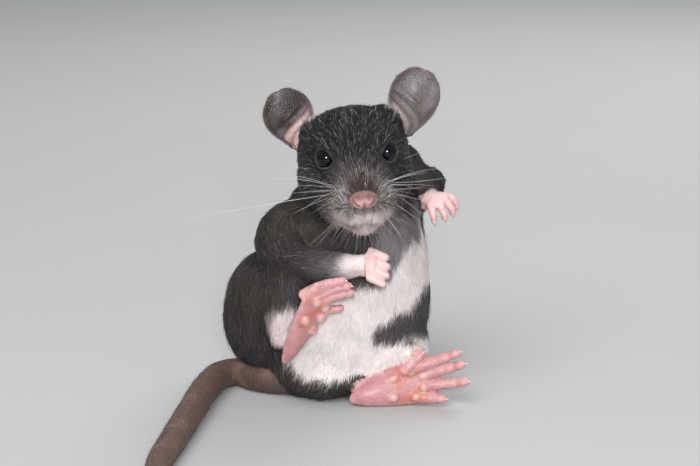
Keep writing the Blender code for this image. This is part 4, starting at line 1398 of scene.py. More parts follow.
            away = point_distance(places[rows], centre)
            share = ease(away, 3.0, 20.0)
            length[rows] = near + (far - near) * share
            lift[rows] += 0.10 * (1.0 - share)
            width[rows] = 0.14 + 0.06 * share
            density[rows] = 1.5 - 0.4 * share
        for paw in PAWS:
            rows = names == paw.name
            _, under, _, reach = paw.axes()
            top = ease(-(normals[rows] @ np.array(under)), 0.35, 0.8)
            along = paw.measured(places[rows])[0]
            length[rows] = 1.1
            width[rows] = 0.09
            density[rows] = top * np.where(along < reach * 1.1, 0.7, 0.25)
        even = np.full(count, 0.5)
        length = skin.soften(skin.mesh, length[:, None], even, 10)[:, 0]
        width = skin.soften(skin.mesh, width[:, None], even, 6)[:, 0]
        density[head & (pad_reach(local) < 1.09)] = 0.0
        for line in (skin.mouth, skin.cleft):
            near = line_distance(places, carry(head_matrix(), np.array(line, float)))
            density[near < 0.4] = 0.0
            length = length * (0.70 + 0.30 * ease(near, 0.4, 2.2))
        for side in Side:
            ahead = carry(eye_frame(side).inverted(), places)
            away = np.linalg.norm(ahead, axis=1)
            reach = almond(ahead / np.maximum(away, 1e-6)[:, None])
            around = (away < 7.0) & (ahead[:, 2] > 0.0)
            density[around & (reach < 1.10)] = 0.0
            length = np.where(around, length * (0.38 + 0.62 * ease(reach, 1.1, 2.1)), length)
            lift = np.where(around, lift * 0.8, lift)
        for paw in PAWS:
            away = segment_distance(places, paw.base, paw.far) - 0.4 * paw.width
            length = length * (0.5 + 0.5 * ease(away, 0.0, 5.0))
        return length, width, density, lift

    def comb(
        self, rng: np.random.Generator, surface: BVHTree, root: np.ndarray, up: np.ndarray, way: np.ndarray,
        long: np.ndarray, wide: np.ndarray, lift: np.ndarray,
    ) -> dict[str, np.ndarray]:
        """Bends each tuft along the skin and draws it to its clump.

        Args:
            rng: The source of random draws.
            surface: The skin.
            root: Where each tuft stands.
            up: The skin's normal there.
            way: The way that it lies.
            long: Its length.
            wide: Its width.
            lift: How far its tip stands off the skin, as a share of its length.

        Returns:
            Rows for the tufts' middles, tips, widths, normals, ways and shades, and which are guard hairs.
        """
        count = len(root)
        side = np.cross(up, way)
        swirl = ripple(root, 5.0, 31) * self.swirl + rng.normal(0.0, self.stray, count)
        way = unit(way * np.cos(swirl)[:, None] + side * np.sin(swirl)[:, None])
        long = long * rng.uniform(*self.longest, count)
        guard = rng.random(count) < self.guard_share
        long[guard] *= self.guard_long
        wide = np.where(guard, wide * self.guard_wide, wide * rng.uniform(*self.widest, count))
        rise = long * (lift + 0.05 * ripple(root, 3.2, 33) + rng.uniform(-0.03, 0.05, count))
        rise = np.where(guard, rise * self.guard_rise, rise)
        middle = root + way * (long * 0.52)[:, None]
        tip = root + way * long[:, None]
        ground_middle, ground_tip = np.empty_like(root), np.empty_like(root)
        up_middle, up_tip = np.empty_like(root), np.empty_like(root)
        for goal, ground, normal in ((middle, ground_middle, up_middle), (tip, ground_tip, up_tip)):
            for i, place in enumerate(goal.tolist()):
                hit, facing, _, _ = surface.find_nearest(place)
                ground[i], normal[i] = hit, facing
        middle = ground_middle + unit(up_middle + up) * (rise * 0.72)[:, None]
        tip = ground_tip + unit(up_tip + up) * rise[:, None]
        leaders = np.nonzero(rng.random(count) < 1.0 / self.clump)[0]
        tree = KDTree(len(leaders))
        for k, i in enumerate(leaders.tolist()):
            tree.insert(root[i], k)
        tree.balance()
        leader = leaders[[tree.find(p)[1] for p in root.tolist()]]
        offset = (tip - root)[leader]
        drawn = root[leader] + offset * (long / np.maximum(long[leader], 0.1))[:, None]
        pull = np.where(guard, self.guard_pull, self.clump_pull)[:, None]
        away = np.linalg.norm(drawn - tip, axis=1, keepdims=True)
        pull = pull * np.clip(2.2 - away / 1.2, 0.0, 1.0)
        tip = tip + (drawn - tip) * pull
        middle = middle + (root[leader] + offset * 0.5 - middle) * pull * 0.35
        shade = 1.0 + 0.10 * rng.normal(size=count)[leader] + 0.12 * rng.normal(size=count)
        return {"middle": middle, "tip": tip, "wide": wide, "up": up, "way": way, "shade": shade, "guard": guard}

    def rows_of(self, piece: CoatPiece, root: np.ndarray, part: np.ndarray) -> np.ndarray:
        """Which tufts belong to a piece."""
        angle, _ = self.unwrap(piece, root)
        low, high = piece.sector
        return np.isin(part, piece.parts) & (angle >= low) & ((angle < high) | (high >= 180.0))

    def unwrap(self, piece: CoatPiece, root: np.ndarray) -> tuple[np.ndarray, np.ndarray]:
        """The angle about the piece's axis, in degrees, and the height along it."""
        axis = np.array(Vector(piece.axis).normalized())
        front = np.array(piece.front, float)
        front = front - axis * (front @ axis)
        front /= np.linalg.norm(front)
        local = root - np.array(piece.origin)
        angle = np.degrees(np.arctan2(local @ np.cross(axis, front), local @ front))
        return angle, local @ axis

    def plant(
        self, shop: Workshop, piece: CoatPiece, rows: np.ndarray, root: np.ndarray,
        strands: dict[str, np.ndarray], tint: np.ndarray, material: bpy.types.Material,
    ) -> None:
        """Makes one piece of the coat from its tufts.

        Args:
            shop: The workshop that delivers it.
            piece: Which piece.
            rows: Which of all the tufts are its own.
            root: Where each tuft stands.
            strands: What comb found for them.
            tint: Their colours.
            material: The coat's finish.
        """
        roots = root[rows]
        part = {key: value[rows] for key, value in strands.items()}
        count = len(roots)
        across = unit(np.cross(part["up"], part["way"]))
        ahead = unit(part["tip"] - part["middle"])
        across_mid = unit(np.cross(part["up"], ahead))
        corners = np.empty((count, 7, 3))
        wide = part["wide"][:, None]
        low = roots - part["up"] * self.root_depth
        corners[:, 0] = low - across * wide * 0.5
        corners[:, 1] = low + across * wide * 0.5
        corners[:, 2] = low + part["up"] * wide * 0.7
        corners[:, 3] = part["middle"] - across_mid * wide * 0.45
        corners[:, 4] = part["middle"] + across_mid * wide * 0.45
        corners[:, 5] = part["middle"] + part["up"] * wide * 0.45
        corners[:, 6] = part["tip"]
        corners[:, :, 2] = np.maximum(corners[:, :, 2], FLOOR_GAP)
        angle, height = self.unwrap(piece, roots)
        place = np.stack((angle, height), axis=1)
        place = (place - place.min(axis=0)) / np.ptp(place, axis=0) * 0.97 + 0.015
        mesh = spikes(piece.name, corners, place)
        ways = np.repeat(part["up"][:, None, :], 7, axis=1)
        for number, lean in ((0, -0.4), (1, 0.4), (3, -0.4), (4, 0.4)):
            ways[:, number] += across * lean
        ways[:, 6] += ahead * 0.3
        mesh.normals_split_custom_set_from_vertices(unit(ways.reshape(-1, 3)))
        base = tint[rows]
        shade = np.clip(part["shade"], 0.6, 1.5)[:, None]
        base = base * np.where(base.mean(axis=1, keepdims=True) > 0.3, 1.0 + 0.25 * (shade - 1.0), shade)
        guard = part["guard"][:, None]
        pale = base.mean(axis=1, keepdims=True) > 0.25
        tips = np.where(guard & ~pale, base * 1.2 + 0.07, base * 1.2 + 0.010)
        tips = np.where(pale, base, tips)
        shades = np.empty((count, 7, 3))
        # The roots are darker than the rest of each tuft: painted shade deep in the coat.
        shades[:, :3] = (base * np.where(pale, 0.95, 0.7))[:, None, :]
        shades[:, 3:6] = base[:, None, :]
        shades[:, 6] = tips
        put_colours(mesh, shades.reshape(-1, 3))
        shop.deliver(piece.name, mesh, material)


def spikes(name: str, corners: np.ndarray, place: np.ndarray) -> bpy.types.Mesh:
    """One mesh of many small closed spikes, each with a patch of its own in the OFBake unwrap.

    Args:
        name: The mesh's name.
        corners: Seven vertices for each spike: three at its foot, three half-way up, and its tip.
        place: Where each spike's patch lies in the unwrap.

    Returns:
        The mesh.
    """
    count, each, _ = corners.shape
    mesh = bpy.data.meshes.new(name)
    mesh.vertices.add(count * each)
    mesh.vertices.foreach_set("co", corners.astype(np.float32).ravel())
    loops = (SPIKE_LOOPS[None, :] + (np.arange(count) * each)[:, None]).ravel()
    totals = np.tile(SPIKE_SIZES, count)
    mesh.loops.add(len(loops))
    mesh.loops.foreach_set("vertex_index", loops.astype(np.int32))
    mesh.polygons.add(len(totals))
    mesh.polygons.foreach_set("loop_start", np.concatenate(([0], np.cumsum(totals)[:-1])).astype(np.int32))
    mesh.update(calc_edges=True)
    mesh.shade_smooth()
    uv = place[:, None, :] + SPIKE_PATCH[SPIKE_LOOPS][None, :, :]
    mesh.uv_layers.new(name="OFBake").data.foreach_set("uv", uv.astype(np.float32).ravel())
    return mesh


def fine_hairs(
    name: str, root: np.ndarray, way: np.ndarray, up: np.ndarray, size: tuple, lean: tuple, place: np.ndarray
) -> bpy.types.Mesh:
    """One mesh of single short hairs.

    Args:
        name: The mesh's name.
        root: Where each hair stands.
        way: The way that it grows.
        up: The way out of the skin.
        size: Its length and its width.
        lean: How far its middle and its tip stand off the skin, as shares of its length.
        place: Where its patch lies in the unwrap.

    Returns:
        The mesh.
    """
    long, wide = size
    side = unit(np.cross(up, way))
    middle = root + way * (long * 0.5)[:, None] + up * (long * lean[0])[:, None]
    corners = np.empty((len(root), 7, 3))
    for k, (spot, share) in enumerate(((root, 1.0), (middle, 0.75))):
        corners[:, 3 * k] = spot - side * wide * 0.5 * share
        corners[:, 3 * k + 1] = spot + side * wide * 0.5 * share
        corners[:, 3 * k + 2] = spot + up * wide * 0.8 * share
    corners[:, 6] = root + way * long[:, None] + up * (long * lean[1])[:, None]
    corners[:, :, 2] = np.maximum(corners[:, :, 2], 0.02)
    return spikes(name, corners, place)


# Head pieces


@dataclass
class Eyes:
    """Glossy black eyeballs and the thin rims of their lids."""

    rim: float = 0.21
    knots: int = 64

    def build(self, shop: Workshop, ball: bpy.types.Material, lid: bpy.types.Material) -> None:
        """Makes both eyes and their lids."""
        for side in Side:
            name = side.name.lower()
            made = bmesh.new()
            bmesh.ops.create_uvsphere(
                made, u_segments=48, v_segments=32, radius=EYE_RADIUS + 0.05, matrix=eye_frame(side)
            )
            mesh = made_mesh("eye", made)
            shop.deliver("eyeball_" + name, mesh, ball, ("eye_" + name,))
            points, sizes = [], []
            wide, high = LID_OPENING
            for k in range(self.knots):
                angle = 2.0 * math.pi * k / self.knots
                x = wide * (1.0 - LID_TAPER * math.sin(angle)) * math.cos(angle)
                y = high * math.sin(angle)
                z = math.sqrt(max(EYE_RADIUS**2 - x * x - y * y, 0.01))
                out = Vector((x, y, z)).normalized() * (EYE_RADIUS + 0.12)
                points.append(eye_frame(side) @ out)
                sizes.append(self.rim * (1.0 + 0.15 * math.sin(3.0 * angle + side.value)))
            mesh = tubes("lid", [(points, sizes)], 3, closed=True)
            low = ease(-carry(eye_frame(side).inverted(), coordinates(mesh))[:, 1], 1.5, 2.4)
            put_colours(mesh, painted(len(low), (0.016, 0.013, 0.014), ((0.075, 0.058, 0.056), low * 0.6)))
            shop.deliver("lid_" + name, mesh, lid)


@dataclass
class Nose:
    """The bare pink nose pad with its nostrils and the cleft below."""

    centre: tuple = NOSE_PLACE
    radii: tuple = (3.15, 2.4, 2.15)
    nostril: tuple = (2.35, -0.2, -1.0)

    def build(self, shop: Workshop, material: bpy.types.Material) -> None:
        """Makes the nose."""
        made = bmesh.new()
        place = Matrix.Translation(self.centre) @ Matrix.Diagonal((*self.radii, 1.0))
        bmesh.ops.create_icosphere(made, subdivisions=6, radius=1.0, matrix=place)
        mesh = made_mesh("nose", made)
        places, normals = coordinates(mesh), coordinates(mesh, "normal")
        x, y, z = places.T
        hole = np.full(len(places), FAR_AWAY)
        for side in Side:
            inner = (self.nostril[0] * side.value * 0.78, self.nostril[1] - 0.2, self.nostril[2] - 0.15)
            outer = (self.radii[0] * side.value, 1.0, 0.15)
            hole = np.minimum(hole, segment_distance(places, inner, outer))
        dip = 0.85 * np.exp(-((hole / 0.42) ** 2)) - 0.16 * np.exp(-(((hole - 0.95) / 0.4) ** 2))
        groove = np.exp(-((x / 0.30) ** 2)) * ease(-z, -0.4, 0.8) * ease(2.0 - y, 0.0, 1.5)
        dip += 0.42 * groove
        cells = 0.035 * ripple(places, 0.55, 77)
        put_coordinates(mesh, carry(head_matrix(), places - normals * (dip + cells)[:, None]))
        tint = painted(
            len(places), (0.45, 0.265, 0.25),
            ((0.33, 0.165, 0.15), ease(ripple(places, 1.6, 78), -0.2, 1.0) * 0.6),
            ((0.17, 0.085, 0.07), ease(z + 0.25 * ripple(places, 1.2, 79), -0.1, 1.5) * 0.9),
            ((0.25, 0.13, 0.12), ease(np.abs(x), 2.2, 3.2) * 0.6),
            # Painted shade: the nostril slits near black and the cleft groove darker.
            ((0.07, 0.025, 0.022), ease(0.66 - hole, 0.0, 0.5)),
            ((0.30, 0.11, 0.10), groove * 0.6),
        )
        put_colours(mesh, tint)
        shop.deliver("nose", mesh, material)


@dataclass
class Ear:
    """One thin cupped ear with ridges, and the fine hairs on it."""

    name: str
    root: tuple
    long_axis: tuple
    facing: tuple
    length: float = 20.0
    width: float = 14.8
    thickness: float = 0.5
    ridges: float = 0.42
    # How much painted shade lies on the ear: it darkens the outer cup and the pale hairs, and lets the pale base
    # reach further.
    shade: float = 0.0
    pitch: float = 2.5
    hair_count: int = 1500

    def frame(self) -> tuple[np.ndarray, np.ndarray, np.ndarray]:
        """The ways that it grows, faces and spans."""
        grow = Vector(self.long_axis).normalized()
        face = Vector(self.facing)
        face = (face - grow * face.dot(grow)).normalized()
        return np.array(grow), np.array(face), np.array(grow.cross(face))

    def reach(self, along: np.ndarray, across: np.ndarray) -> np.ndarray:
        """Millimetres from the inner foot of the ear, which the ridges run round."""
        inner = -0.75 if self.root[0] > 0.0 else 0.75
        return np.hypot((along - 0.10) * self.length, (across - inner) * 0.42 * self.width)

    def ridged(self, reach: np.ndarray) -> np.ndarray:
        """Where the ridges are: from 0 off them to 1 among them."""
        return ease(reach, 3.0, 4.5) * ease(13.5 - reach, 0.0, 4.0)

    def surface(self, along: np.ndarray, across: np.ndarray) -> np.ndarray:
        """Points of the cup.

        Args:
            along: 0 at the root to 1 at the tip.
            across: -1 to 1 from edge to edge.

        Returns:
            One point each, in millimetres.
        """
        grow, face, span = self.frame()
        rise = np.minimum(1.0, along / 0.52)
        fall = np.maximum(0.0, (along - 0.52) / 0.48)
        share = (0.76 + 0.24 * np.sin(0.5 * np.pi * rise)) * np.sqrt(1.0 - fall**2.3 * 0.985)
        half = 0.5 * self.width * share
        roll = np.radians(24.0 + 92.0 * (1.0 - along) ** 2.2)
        radius = half / roll
        angle = roll * across
        reach = self.reach(along, across)
        wave = self.ridges * np.sin(reach * self.pitch) * self.ridged(reach)
        wave *= ease(0.85 - np.abs(across), 0.0, 0.4)
        wave += 0.25 * np.sin(along * 8.0 + across * 3.0) * ease(along, 0.3, 0.6) * ease(1.0 - along, 0.0, 0.2)
        curl = np.maximum(ease(np.abs(across), 0.76, 1.0) * (1.0 - ease(along, 0.72, 0.95)), ease(along, 0.86, 1.0))
        out = radius * (1.0 - np.cos(angle)) + wave + curl * 0.6 - 2.6 * np.sin(np.pi * along)
        return (
            np.array(self.root)
            + grow * (self.length * along)[:, None]
            + span * (radius * np.sin(angle))[:, None]
            + face * out[:, None]
        )

    def build(self, shop: Workshop, material: bpy.types.Material, hair: bpy.types.Material) -> None:
        """Makes the ear and its hairs."""
        made = bmesh.new()
        bmesh.ops.create_grid(made, x_segments=56, y_segments=72, size=1.0)
        mesh = made_mesh("ear", made)
        flat = coordinates(mesh)
        across, along = flat[:, 0], flat[:, 1] * 0.5 + 0.5
        put_coordinates(mesh, self.surface(along, across))
        put_values(mesh, "Along", along)
        put_values(mesh, "Across", across)
        sheet = new_object("ear_sheet", mesh)
        wall = sheet.modifiers.new("wall", "SOLIDIFY")
        wall.thickness = self.thickness
        wall.offset = 0.0
        mesh = applied(sheet)
        smooth = bmesh.new()
        smooth.from_mesh(mesh)
        bmesh.ops.recalc_face_normals(smooth, faces=smooth.faces)
        bmesh.ops.smooth_vert(
            smooth, verts=smooth.verts, factor=0.5, use_axis_x=True, use_axis_y=True, use_axis_z=True
        )
        smooth.to_mesh(mesh)
        smooth.free()
        count = len(mesh.vertices)
        along, across = np.empty(count, np.float32), np.empty(count, np.float32)
        mesh.attributes["Along"].data.foreach_get("value", along)
        mesh.attributes["Across"].data.foreach_get("value", across)
        places, normals = coordinates(mesh), coordinates(mesh, "normal")
        inside = ease(normals @ self.frame()[1], -0.1, 0.3)
        reach = self.reach(along, across)
        wander = ripple(places, 4.0, 51)
        pale = inside * ease(8.0 + 3.6 * self.shade - reach + wander, 0.0, 4.5)
        # Painted shade in the troughs between the ridges on the inner face.
        crease_shade = ease(-np.sin(reach * self.pitch), 0.1, 0.9) * self.ridged(reach)
        # Painted shade: the outer part of the cup darkens by the ear's share of shade.
        dark = ease(reach + wander, 8.6, 11.0) * (0.75 + 0.25 * ease(wander, -0.5, 0.5))
        edge = np.maximum(ease(np.abs(across), 0.84, 1.0), ease(along, 0.9, 1.0))
        tint = painted(
            count, (0.165, 0.155, 0.158),
            ((0.070, 0.054, 0.049), ease(wander, 0.1, 1.1) * 0.6),
            ((0.58, 0.42, 0.40), pale * 0.95),
            ((0.090, 0.058, 0.051), crease_shade * inside * 0.6),
            ((0.020, 0.0115, 0.009), dark * self.shade),
            ((0.13, 0.095, 0.09), edge * 0.7),
            ((0.06, 0.05, 0.048), (1.0 - inside) * 0.55),
        )
        put_colours(mesh, tint)
        shop.deliver("cup_" + self.name, mesh, material, (self.name,))
        self.hairs(shop, hair)

    def hairs(self, shop: Workshop, material: bpy.types.Material) -> None:
        """Fine short hairs over both faces of the ear and along its rim."""
        rng = np.random.default_rng(40 + len(self.name))
        count = self.hair_count
        across = rng.uniform(-0.98, 0.98, count)
        along = rng.uniform(0.04, 0.98, count)
        rim = rng.random(count) < 0.35
        across[rim] = np.sign(across[rim]) * rng.uniform(0.94, 1.0, rim.sum())
        base = self.surface(along, across)
        way = unit(self.surface(np.minimum(along + 0.01, 0.999), across) - base)
        span = unit(self.surface(along, across + 0.01) - base)
        up = unit(np.cross(span, way))
        up *= np.sign(up @ self.frame()[1])[:, None]
        up *= np.where(rng.random(count) < 0.5, 1.0, -1.0)[:, None]
        long = rng.uniform(0.5, 1.0, count)
        aside = rng.normal(0.0, 0.35, count)
        way = unit(way + span * aside[:, None] + np.where(rim, np.sign(across), 0.0)[:, None] * span * 0.5)
        wide = rng.uniform(0.04, 0.06, count)[:, None]
        root = base + up * (self.thickness * 0.5 - 0.05)
        place = np.stack((across * 0.48 + 0.5, along * 0.96 + 0.02), axis=1)
        mesh = fine_hairs("ear_hair", root, way, up, (long, wide), (0.22, 0.30), place)
        # The ear's painted shade also darkens its pale hairs.
        shade = np.where(rng.random(count) < 0.35, 0.30 - 0.22 * self.shade, 0.05)[:, None]
        put_colours(mesh, np.repeat(shade * np.array((1.0, 0.93, 0.9)), 7, axis=0))
        shop.deliver("hairs_" + self.name, mesh, material)


@dataclass
class Whiskers:
    """Long tapering whiskers in rows on the pads, with brows and a few on the chin."""

    seed: int = 23
    radius: float = 0.052
    rows: int = 4
    columns: int = 5
    knots: int = 12
    taper: float = 0.85
    brows: tuple = (
        ((7.0, 15.0, 10.6), (0.35, 0.15, 0.85), 7.0, 0.05, 0.30),
        ((7.6, 16.4, 10.8), (0.75, 0.25, 0.65), 6.0, 0.05, 0.26),
        ((9.8, 21.0, 1.5), (0.9, 0.3, 0.1), 8.0, 0.10, 0.5),
    )
    seen: tuple = (
        ((-6.0, 10.5, -1.5), (-0.96, 0.12, -0.10), 44.0, 0.17, 1.2),
        ((6.2, 10.5, 0.4), (0.98, 0.10, -0.16), 21.0, 0.02, 0.9),
        ((7.0, 8.0, -1.2), (0.95, -0.10, -0.06), 9.5, 0.08, 1.25),
        ((6.2, 7.6, -2.2), (0.92, -0.12, -0.26), 10.0, 0.16, 1.25),
        ((5.6, 7.4, -3.2), (0.72, -0.15, -0.50), 11.0, 0.22, 1.15),
        ((4.6, 7.2, -4.0), (0.50, -0.15, -0.70), 9.0, 0.16, 1.05),
    )

    def build(self, shop: Workshop, skin: Skin, material: bpy.types.Material) -> None:
        """Makes every whisker as one piece."""
        rng = np.random.default_rng(self.seed)
        surface = BVHTree.FromPolygons(
            coordinates(skin.mesh).tolist(), [list(p.vertices) for p in skin.mesh.polygons]
        )
        head = head_matrix()
        turn = head.to_3x3()
        lines = []

        def add(root: tuple, way: tuple, long: float, droop: float, thick: float) -> None:
            start = surface.find_nearest(head @ Vector(root))[0]
            ahead = (turn @ Vector(way)).normalized()
            points, sizes = [], []
            for k in range(self.knots + 1):
                t = k / self.knots
                sag = Vector((0.0, 0.0, -1.0)) * (droop * long * t * t)
                back = turn @ Vector((0.0, 1.0, 0.0)) * (0.34 * long * t * t)
                points.append(start - ahead * 0.4 + ahead * (long * t) + sag + back)
                sizes.append(self.radius * thick * (1.0 - self.taper * t))
            lines.append((points, sizes))

        for side in Side:
            s = side.value
            for row in range(self.rows):
                for column in range(self.columns):
                    y = 4.2 + 1.35 * column
                    z = 0.6 - 1.5 * row
                    x = (3.6 + 0.35 * column) * s
                    if (row + column) % 6 == 5:
                        continue
                    long = 6.0 + 3.0 * column + rng.uniform(-2.0, 2.0)
                    long *= 1.0 - 0.08 * row
                    spread = 0.34 - 0.46 * row - 0.10 * (column - 2) * s + rng.uniform(-0.16, 0.16)
                    fore = -0.30 + 0.14 * column + rng.uniform(-0.25, 0.25)
                    thick = 0.70 + 0.08 * column
                    add((x, y, z), (s * 0.95, fore, spread), long, 0.24 + rng.uniform(-0.08, 0.16), thick)
            for (x, y, z), (aside, fore, rise), *rest in self.brows:
                add((x * s, y, z), (s * aside, fore, rise), *rest)
            for k in range(11):
                add(
                    (s * (0.3 + 0.55 * k), 4.4 + 0.45 * k, -5.2 - 0.1 * k),
                    (s * (0.05 + 0.10 * k + rng.uniform(-0.05, 0.05)), -0.35 + 0.05 * k, -0.9),
                    6.0 + rng.uniform(-2.0, 3.0), 0.05, 0.85,
                )
            for k in range(8):
                add(
                    (s * (0.2 + 0.6 * k), 7.0 + 0.5 * k, -10.6),
                    (s * (0.10 * k + rng.uniform(-0.05, 0.05)), -0.5, -0.8),
                    5.5 + rng.uniform(-1.5, 3.0), 0.05, 0.75,
                )
        for whisker in self.seen:
            add(*whisker)
        mesh = tubes("whiskers", lines, 1)
        places = coordinates(mesh)
        away = point_distance(places, head @ Vector((0.0, 8.0, -2.0)))
        put_colours(mesh, painted(len(places), (0.46, 0.43, 0.42), ((0.78, 0.76, 0.75), ease(away, 5.0, 20.0))))
        shop.deliver("whiskers", mesh, material)


# Tail and claws


@dataclass
class Tail:
    """The bare tail: one tube on the floor with rings of scales and short stiff hairs."""

    line: tuple = (
        (-12.0, -10.5, 4.5), (-19.0, -11.0, 4.0), (-26.2, -8.1, 3.8), (-31.8, -3.6, 3.7), (-37.0, -7.0, 3.6),
        (-40.2, -18.0, 3.5), (-42.6, -34.7, 3.35), (-45.2, -53.0, 3.15), (-47.3, -70.3, 2.85),
        (-45.0, -85.0, 2.4), (-34.5, -94.5, 1.9), (-20.5, -97.0, 1.4), (-7.5, -92.5, 0.95),
    )
    flat: float = 0.35
    step: float = 0.22
    ring: float = 0.95
    hair_count: int = 7500
    hair_start: float = 26.0

    def build(self, shop: Workshop, skin: bpy.types.Material, hair: bpy.types.Material) -> None:
        """Makes the tail and its hairs."""
        radii = [min(z + self.flat, 4.0) for _, _, z in self.line]
        points, sizes = smooth_line(self.line, radii, 40)
        run = np.concatenate(([0.0], np.cumsum(np.linalg.norm(np.diff(points, axis=0), axis=1))))
        count = int(run[-1] / self.step)
        at = np.linspace(0.0, run[-1], count)
        points = np.stack([np.interp(at, run, points[:, k]) for k in range(3)], axis=1)
        sizes = np.interp(at, run, sizes)
        end = ease(run[-1] - at, 0.0, 2.0)
        sizes = sizes * (0.35 + 0.65 * end)
        phase = at / self.ring
        saw = phase - np.floor(phase)
        sizes = sizes * (1.0 + 0.020 * (saw - 0.5) - 0.022 * np.exp(-((saw / 0.16) ** 2)))
        mesh = tubes("tail", [(points, sizes)], 7)
        places = coordinates(mesh)
        tree = KDTree(count)
        for k, point in enumerate(points.tolist()):
            tree.insert(point, k)
        tree.balance()
        nearest = np.array([tree.find(p)[1] for p in places.tolist()])
        travelled = at[nearest]
        places[:, 2] = np.maximum(places[:, 2], 0.02)
        put_coordinates(mesh, places)
        high = (places[:, 2] - points[nearest, 2]) / sizes[nearest]
        tint = painted(
            len(places), (0.152, 0.097, 0.071),
            ((0.070, 0.043, 0.035), ease(40.0 - travelled, 0.0, 26.0) * 0.85),
            ((0.33, 0.235, 0.20), ease(travelled, 110.0, 190.0) * 0.6),
            ((0.13, 0.09, 0.078), ease(high, 0.3, 1.0) * 0.45),
            ((0.27, 0.182, 0.138), ease(ripple(places, 6.0, 61), 0.1, 1.0) * 0.4),
            # Dark lines in the grooves between the scale rings: partly the skin's own dark joints and partly painted
            # shade.
            ((0.045, 0.030, 0.026), np.exp(-((saw[nearest] / 0.18) ** 2)) * 0.55),
        )
        put_colours(mesh, tint)
        put_values(mesh, "Rings", phase[nearest])
        shop.deliver("tail", mesh, skin, ("tail_root", "tail_middle", "tail_tip"))
        self.hairs(shop, hair, points, sizes, at)

    def hairs(
        self, shop: Workshop, material: bpy.types.Material, points: np.ndarray, sizes: np.ndarray, at: np.ndarray
    ) -> None:
        """Three or more short hairs from under each scale."""
        rng = np.random.default_rng(67)
        ahead = unit(np.gradient(points, axis=0))
        lift = unit(np.cross(np.cross(ahead, (0.0, 0.0, 1.0)), ahead))
        side = np.cross(ahead, lift)
        count = self.hair_count
        place = rng.uniform(self.hair_start, at[-1] - 0.5, count)
        row = np.searchsorted(at, place)
        turn = rng.uniform(-0.72 * math.pi, 0.72 * math.pi, count)
        up = lift[row] * np.cos(turn)[:, None] + side[row] * np.sin(turn)[:, None]
        way = unit(ahead[row] + side[row] * rng.normal(0.0, 0.12, count)[:, None])
        long = rng.uniform(1.0, 1.9, count) * (0.6 + 0.4 * sizes[row] / 4.0)
        root = points[row] + up * (sizes[row] * 0.97)[:, None]
        wide = rng.uniform(0.05, 0.075, count)[:, None]
        spot = np.stack((turn / (2.0 * math.pi) + 0.5, place / at[-1] * 0.96 + 0.02), axis=1)
        mesh = fine_hairs("tail_hair", root, way, up, (long, wide), (0.10, 0.16), spot)
        shade = np.where(rng.random(count) < 0.4, 0.34, 0.07)[:, None] * np.array((1.0, 0.92, 0.86))
        put_colours(mesh, np.repeat(shade, 7, axis=0))
        shop.deliver("tail_hairs", mesh, material)


@dataclass
class Claws:
    """The claws of all four paws."""

    def build(self, shop: Workshop, material: bpy.types.Material) -> None:
        """Makes one piece of claws for each paw."""
        for paw in PAWS:
            lines = []
            for points, sizes in paw.claw_lines():
                rows, widths = smooth_line([tuple(p) for p in points], sizes, 2)
                lines.append((rows, widths))
            shop.deliver("claws_" + paw.name, tubes("claws", lines, 3), material)


# Studio


@dataclass(frozen=True)
class Lamp:
    """A soft square light that points at the rat."""

    name: str
    place: tuple
    size: float
    power: float
    colour: tuple
    mirrored: bool = False

    def build(self, centre: Vector) -> None:
        """Hangs the light about a centre."""
        data = bpy.data.lights.new(self.name, "AREA")
        data.size = self.size
        data.energy = self.power
        data.color = self.colour
        lamp = new_object(self.name, data)
        lamp.location = centre + Vector(self.place)
        lamp.rotation_euler = Vector(self.place).to_track_quat("Z", "Y").to_euler()
        lamp.visible_glossy = self.mirrored


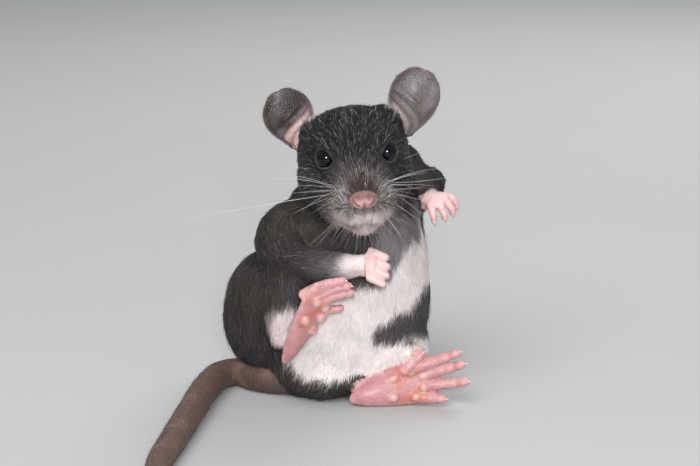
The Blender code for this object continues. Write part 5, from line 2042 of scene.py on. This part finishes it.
@dataclass
class Studio:
    """A plain pale floor, soft lights and the camera at the photograph's angle."""

    target: tuple = (0.0, 0.0, 43.6)
    distance: float = 480.0
    elevation: float = 15.0
    lens: float = 88.16
    sky: tuple = (0.86, 0.90, 0.95, 1.0)
    sky_strength: float = 0.42
    lamps: tuple = (
        Lamp("key", (0.03, -0.66, 0.23), 0.13, 3.8, (0.97, 0.98, 1.0), True),
        Lamp("soft_top", (-0.45, -0.80, 1.20), 1.10, 17.0, (1.0, 0.99, 0.98)),
        Lamp("rim", (0.30, 0.55, 0.60), 0.55, 4.5, (1.0, 1.0, 1.0)),
    )

    def build(self, shop: Workshop) -> None:
        """Sets the studio up."""
        made = bmesh.new()
        bmesh.ops.create_grid(made, x_segments=1, y_segments=1, size=4.0)
        mesh = made_mesh("floor", made)
        mesh.materials.append(FloorFinish("pale_floor", (0.7, 0.85)).build())
        floor = new_object("floor", mesh)
        world = bpy.data.worlds.new("studio")
        world.use_nodes = True
        light = world.node_tree.nodes["Background"].inputs
        light["Color"].default_value = self.sky
        light["Strength"].default_value = self.sky_strength
        bpy.context.scene.world = world
        centre = (Vector(self.target) + shop.drawing.shift) * MM
        for lamp in self.lamps:
            lamp.build(centre)
        data = bpy.data.cameras.new("camera")
        data.lens = self.lens
        data.sensor_width = 36.0
        data.clip_start = 0.01
        camera = new_object("camera", data)
        tilt = math.radians(self.elevation)
        away = Vector((0.0, -math.cos(tilt), math.sin(tilt)))
        camera.location = centre + away * self.distance * MM
        camera.rotation_euler = (math.pi / 2.0 - tilt, 0.0, 0.0)
        bpy.context.scene.camera = camera
        bpy.context.scene.view_settings.view_transform = "Standard"


def main() -> None:
    """Builds the rat piece by piece and sets it in the studio."""
    logging.basicConfig(level=logging.INFO, format="%(asctime)s %(message)s")
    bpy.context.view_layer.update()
    shop = Workshop()
    markings = Markings()
    coat = CoatFinish("coat", (0.42, 0.62), 0.15, 0.00005).build()
    under = SkinFinish("skin_under_coat", (0.6, 0.8), 0.4, 0.0002, cell=2400.0).build()
    bare = SkinFinish(
        "skin_of_paws", (0.34, 0.55), 0.45, 0.00022, cell=2100.0, crease=0.9, ring_depth=0.20, flesh=0.15, gloss=0.28
    ).build()
    nose = SkinFinish(
        "skin_of_nose", (0.30, 0.48), 0.5, 0.00015, cell=3200.0, crease=0.4, flesh=0.10, gloss=0.2
    ).build()
    ear = SkinFinish(
        "skin_of_ears", (0.30, 0.46), 0.6, 0.0003, cell=2000.0, crease=0.35, flesh=0.08, gloss=0.30, shine=0.4
    ).build()
    tail = SkinFinish(
        "skin_of_tail", (0.42, 0.62), 0.6, 0.0002, cell=1500.0, crease=0.5, ring_depth=0.3, flesh=0.05
    ).build()
    fine = CoatFinish("fine_hair", (0.38, 0.5), 0.1, 0.00005).build()
    skin = Skin()
    skin.shape(shop)
    LOG.info("skin shaped")
    Coat().grow(shop, skin, markings, coat)
    Whiskers().build(shop, skin, fine)
    skin.dress(shop, markings, under, bare)
    Eyes().build(shop, EyeFinish("eye", (0.03, 0.08)).build(), nose)
    Nose().build(shop, nose)
    Ear("ear_left", (13.7, -5.5, 72.8), (0.33, 0.48, 0.81), (0.10, -0.90, 0.45)).build(shop, ear, fine)
    Ear("ear_right", (-12.8, -4.5, 69.0), (-0.36, 0.66, 0.64), (-0.20, -0.75, 0.62), shade=0.9).build(
        shop, ear, fine
    )
    Tail().build(shop, tail, fine)
    Claws().build(shop, ClawFinish("claw", (0.25, 0.4), 0.2).build())
    Studio().build(shop)
    bpy.context.view_layer.update()


if __name__ == "__main__":
    main()
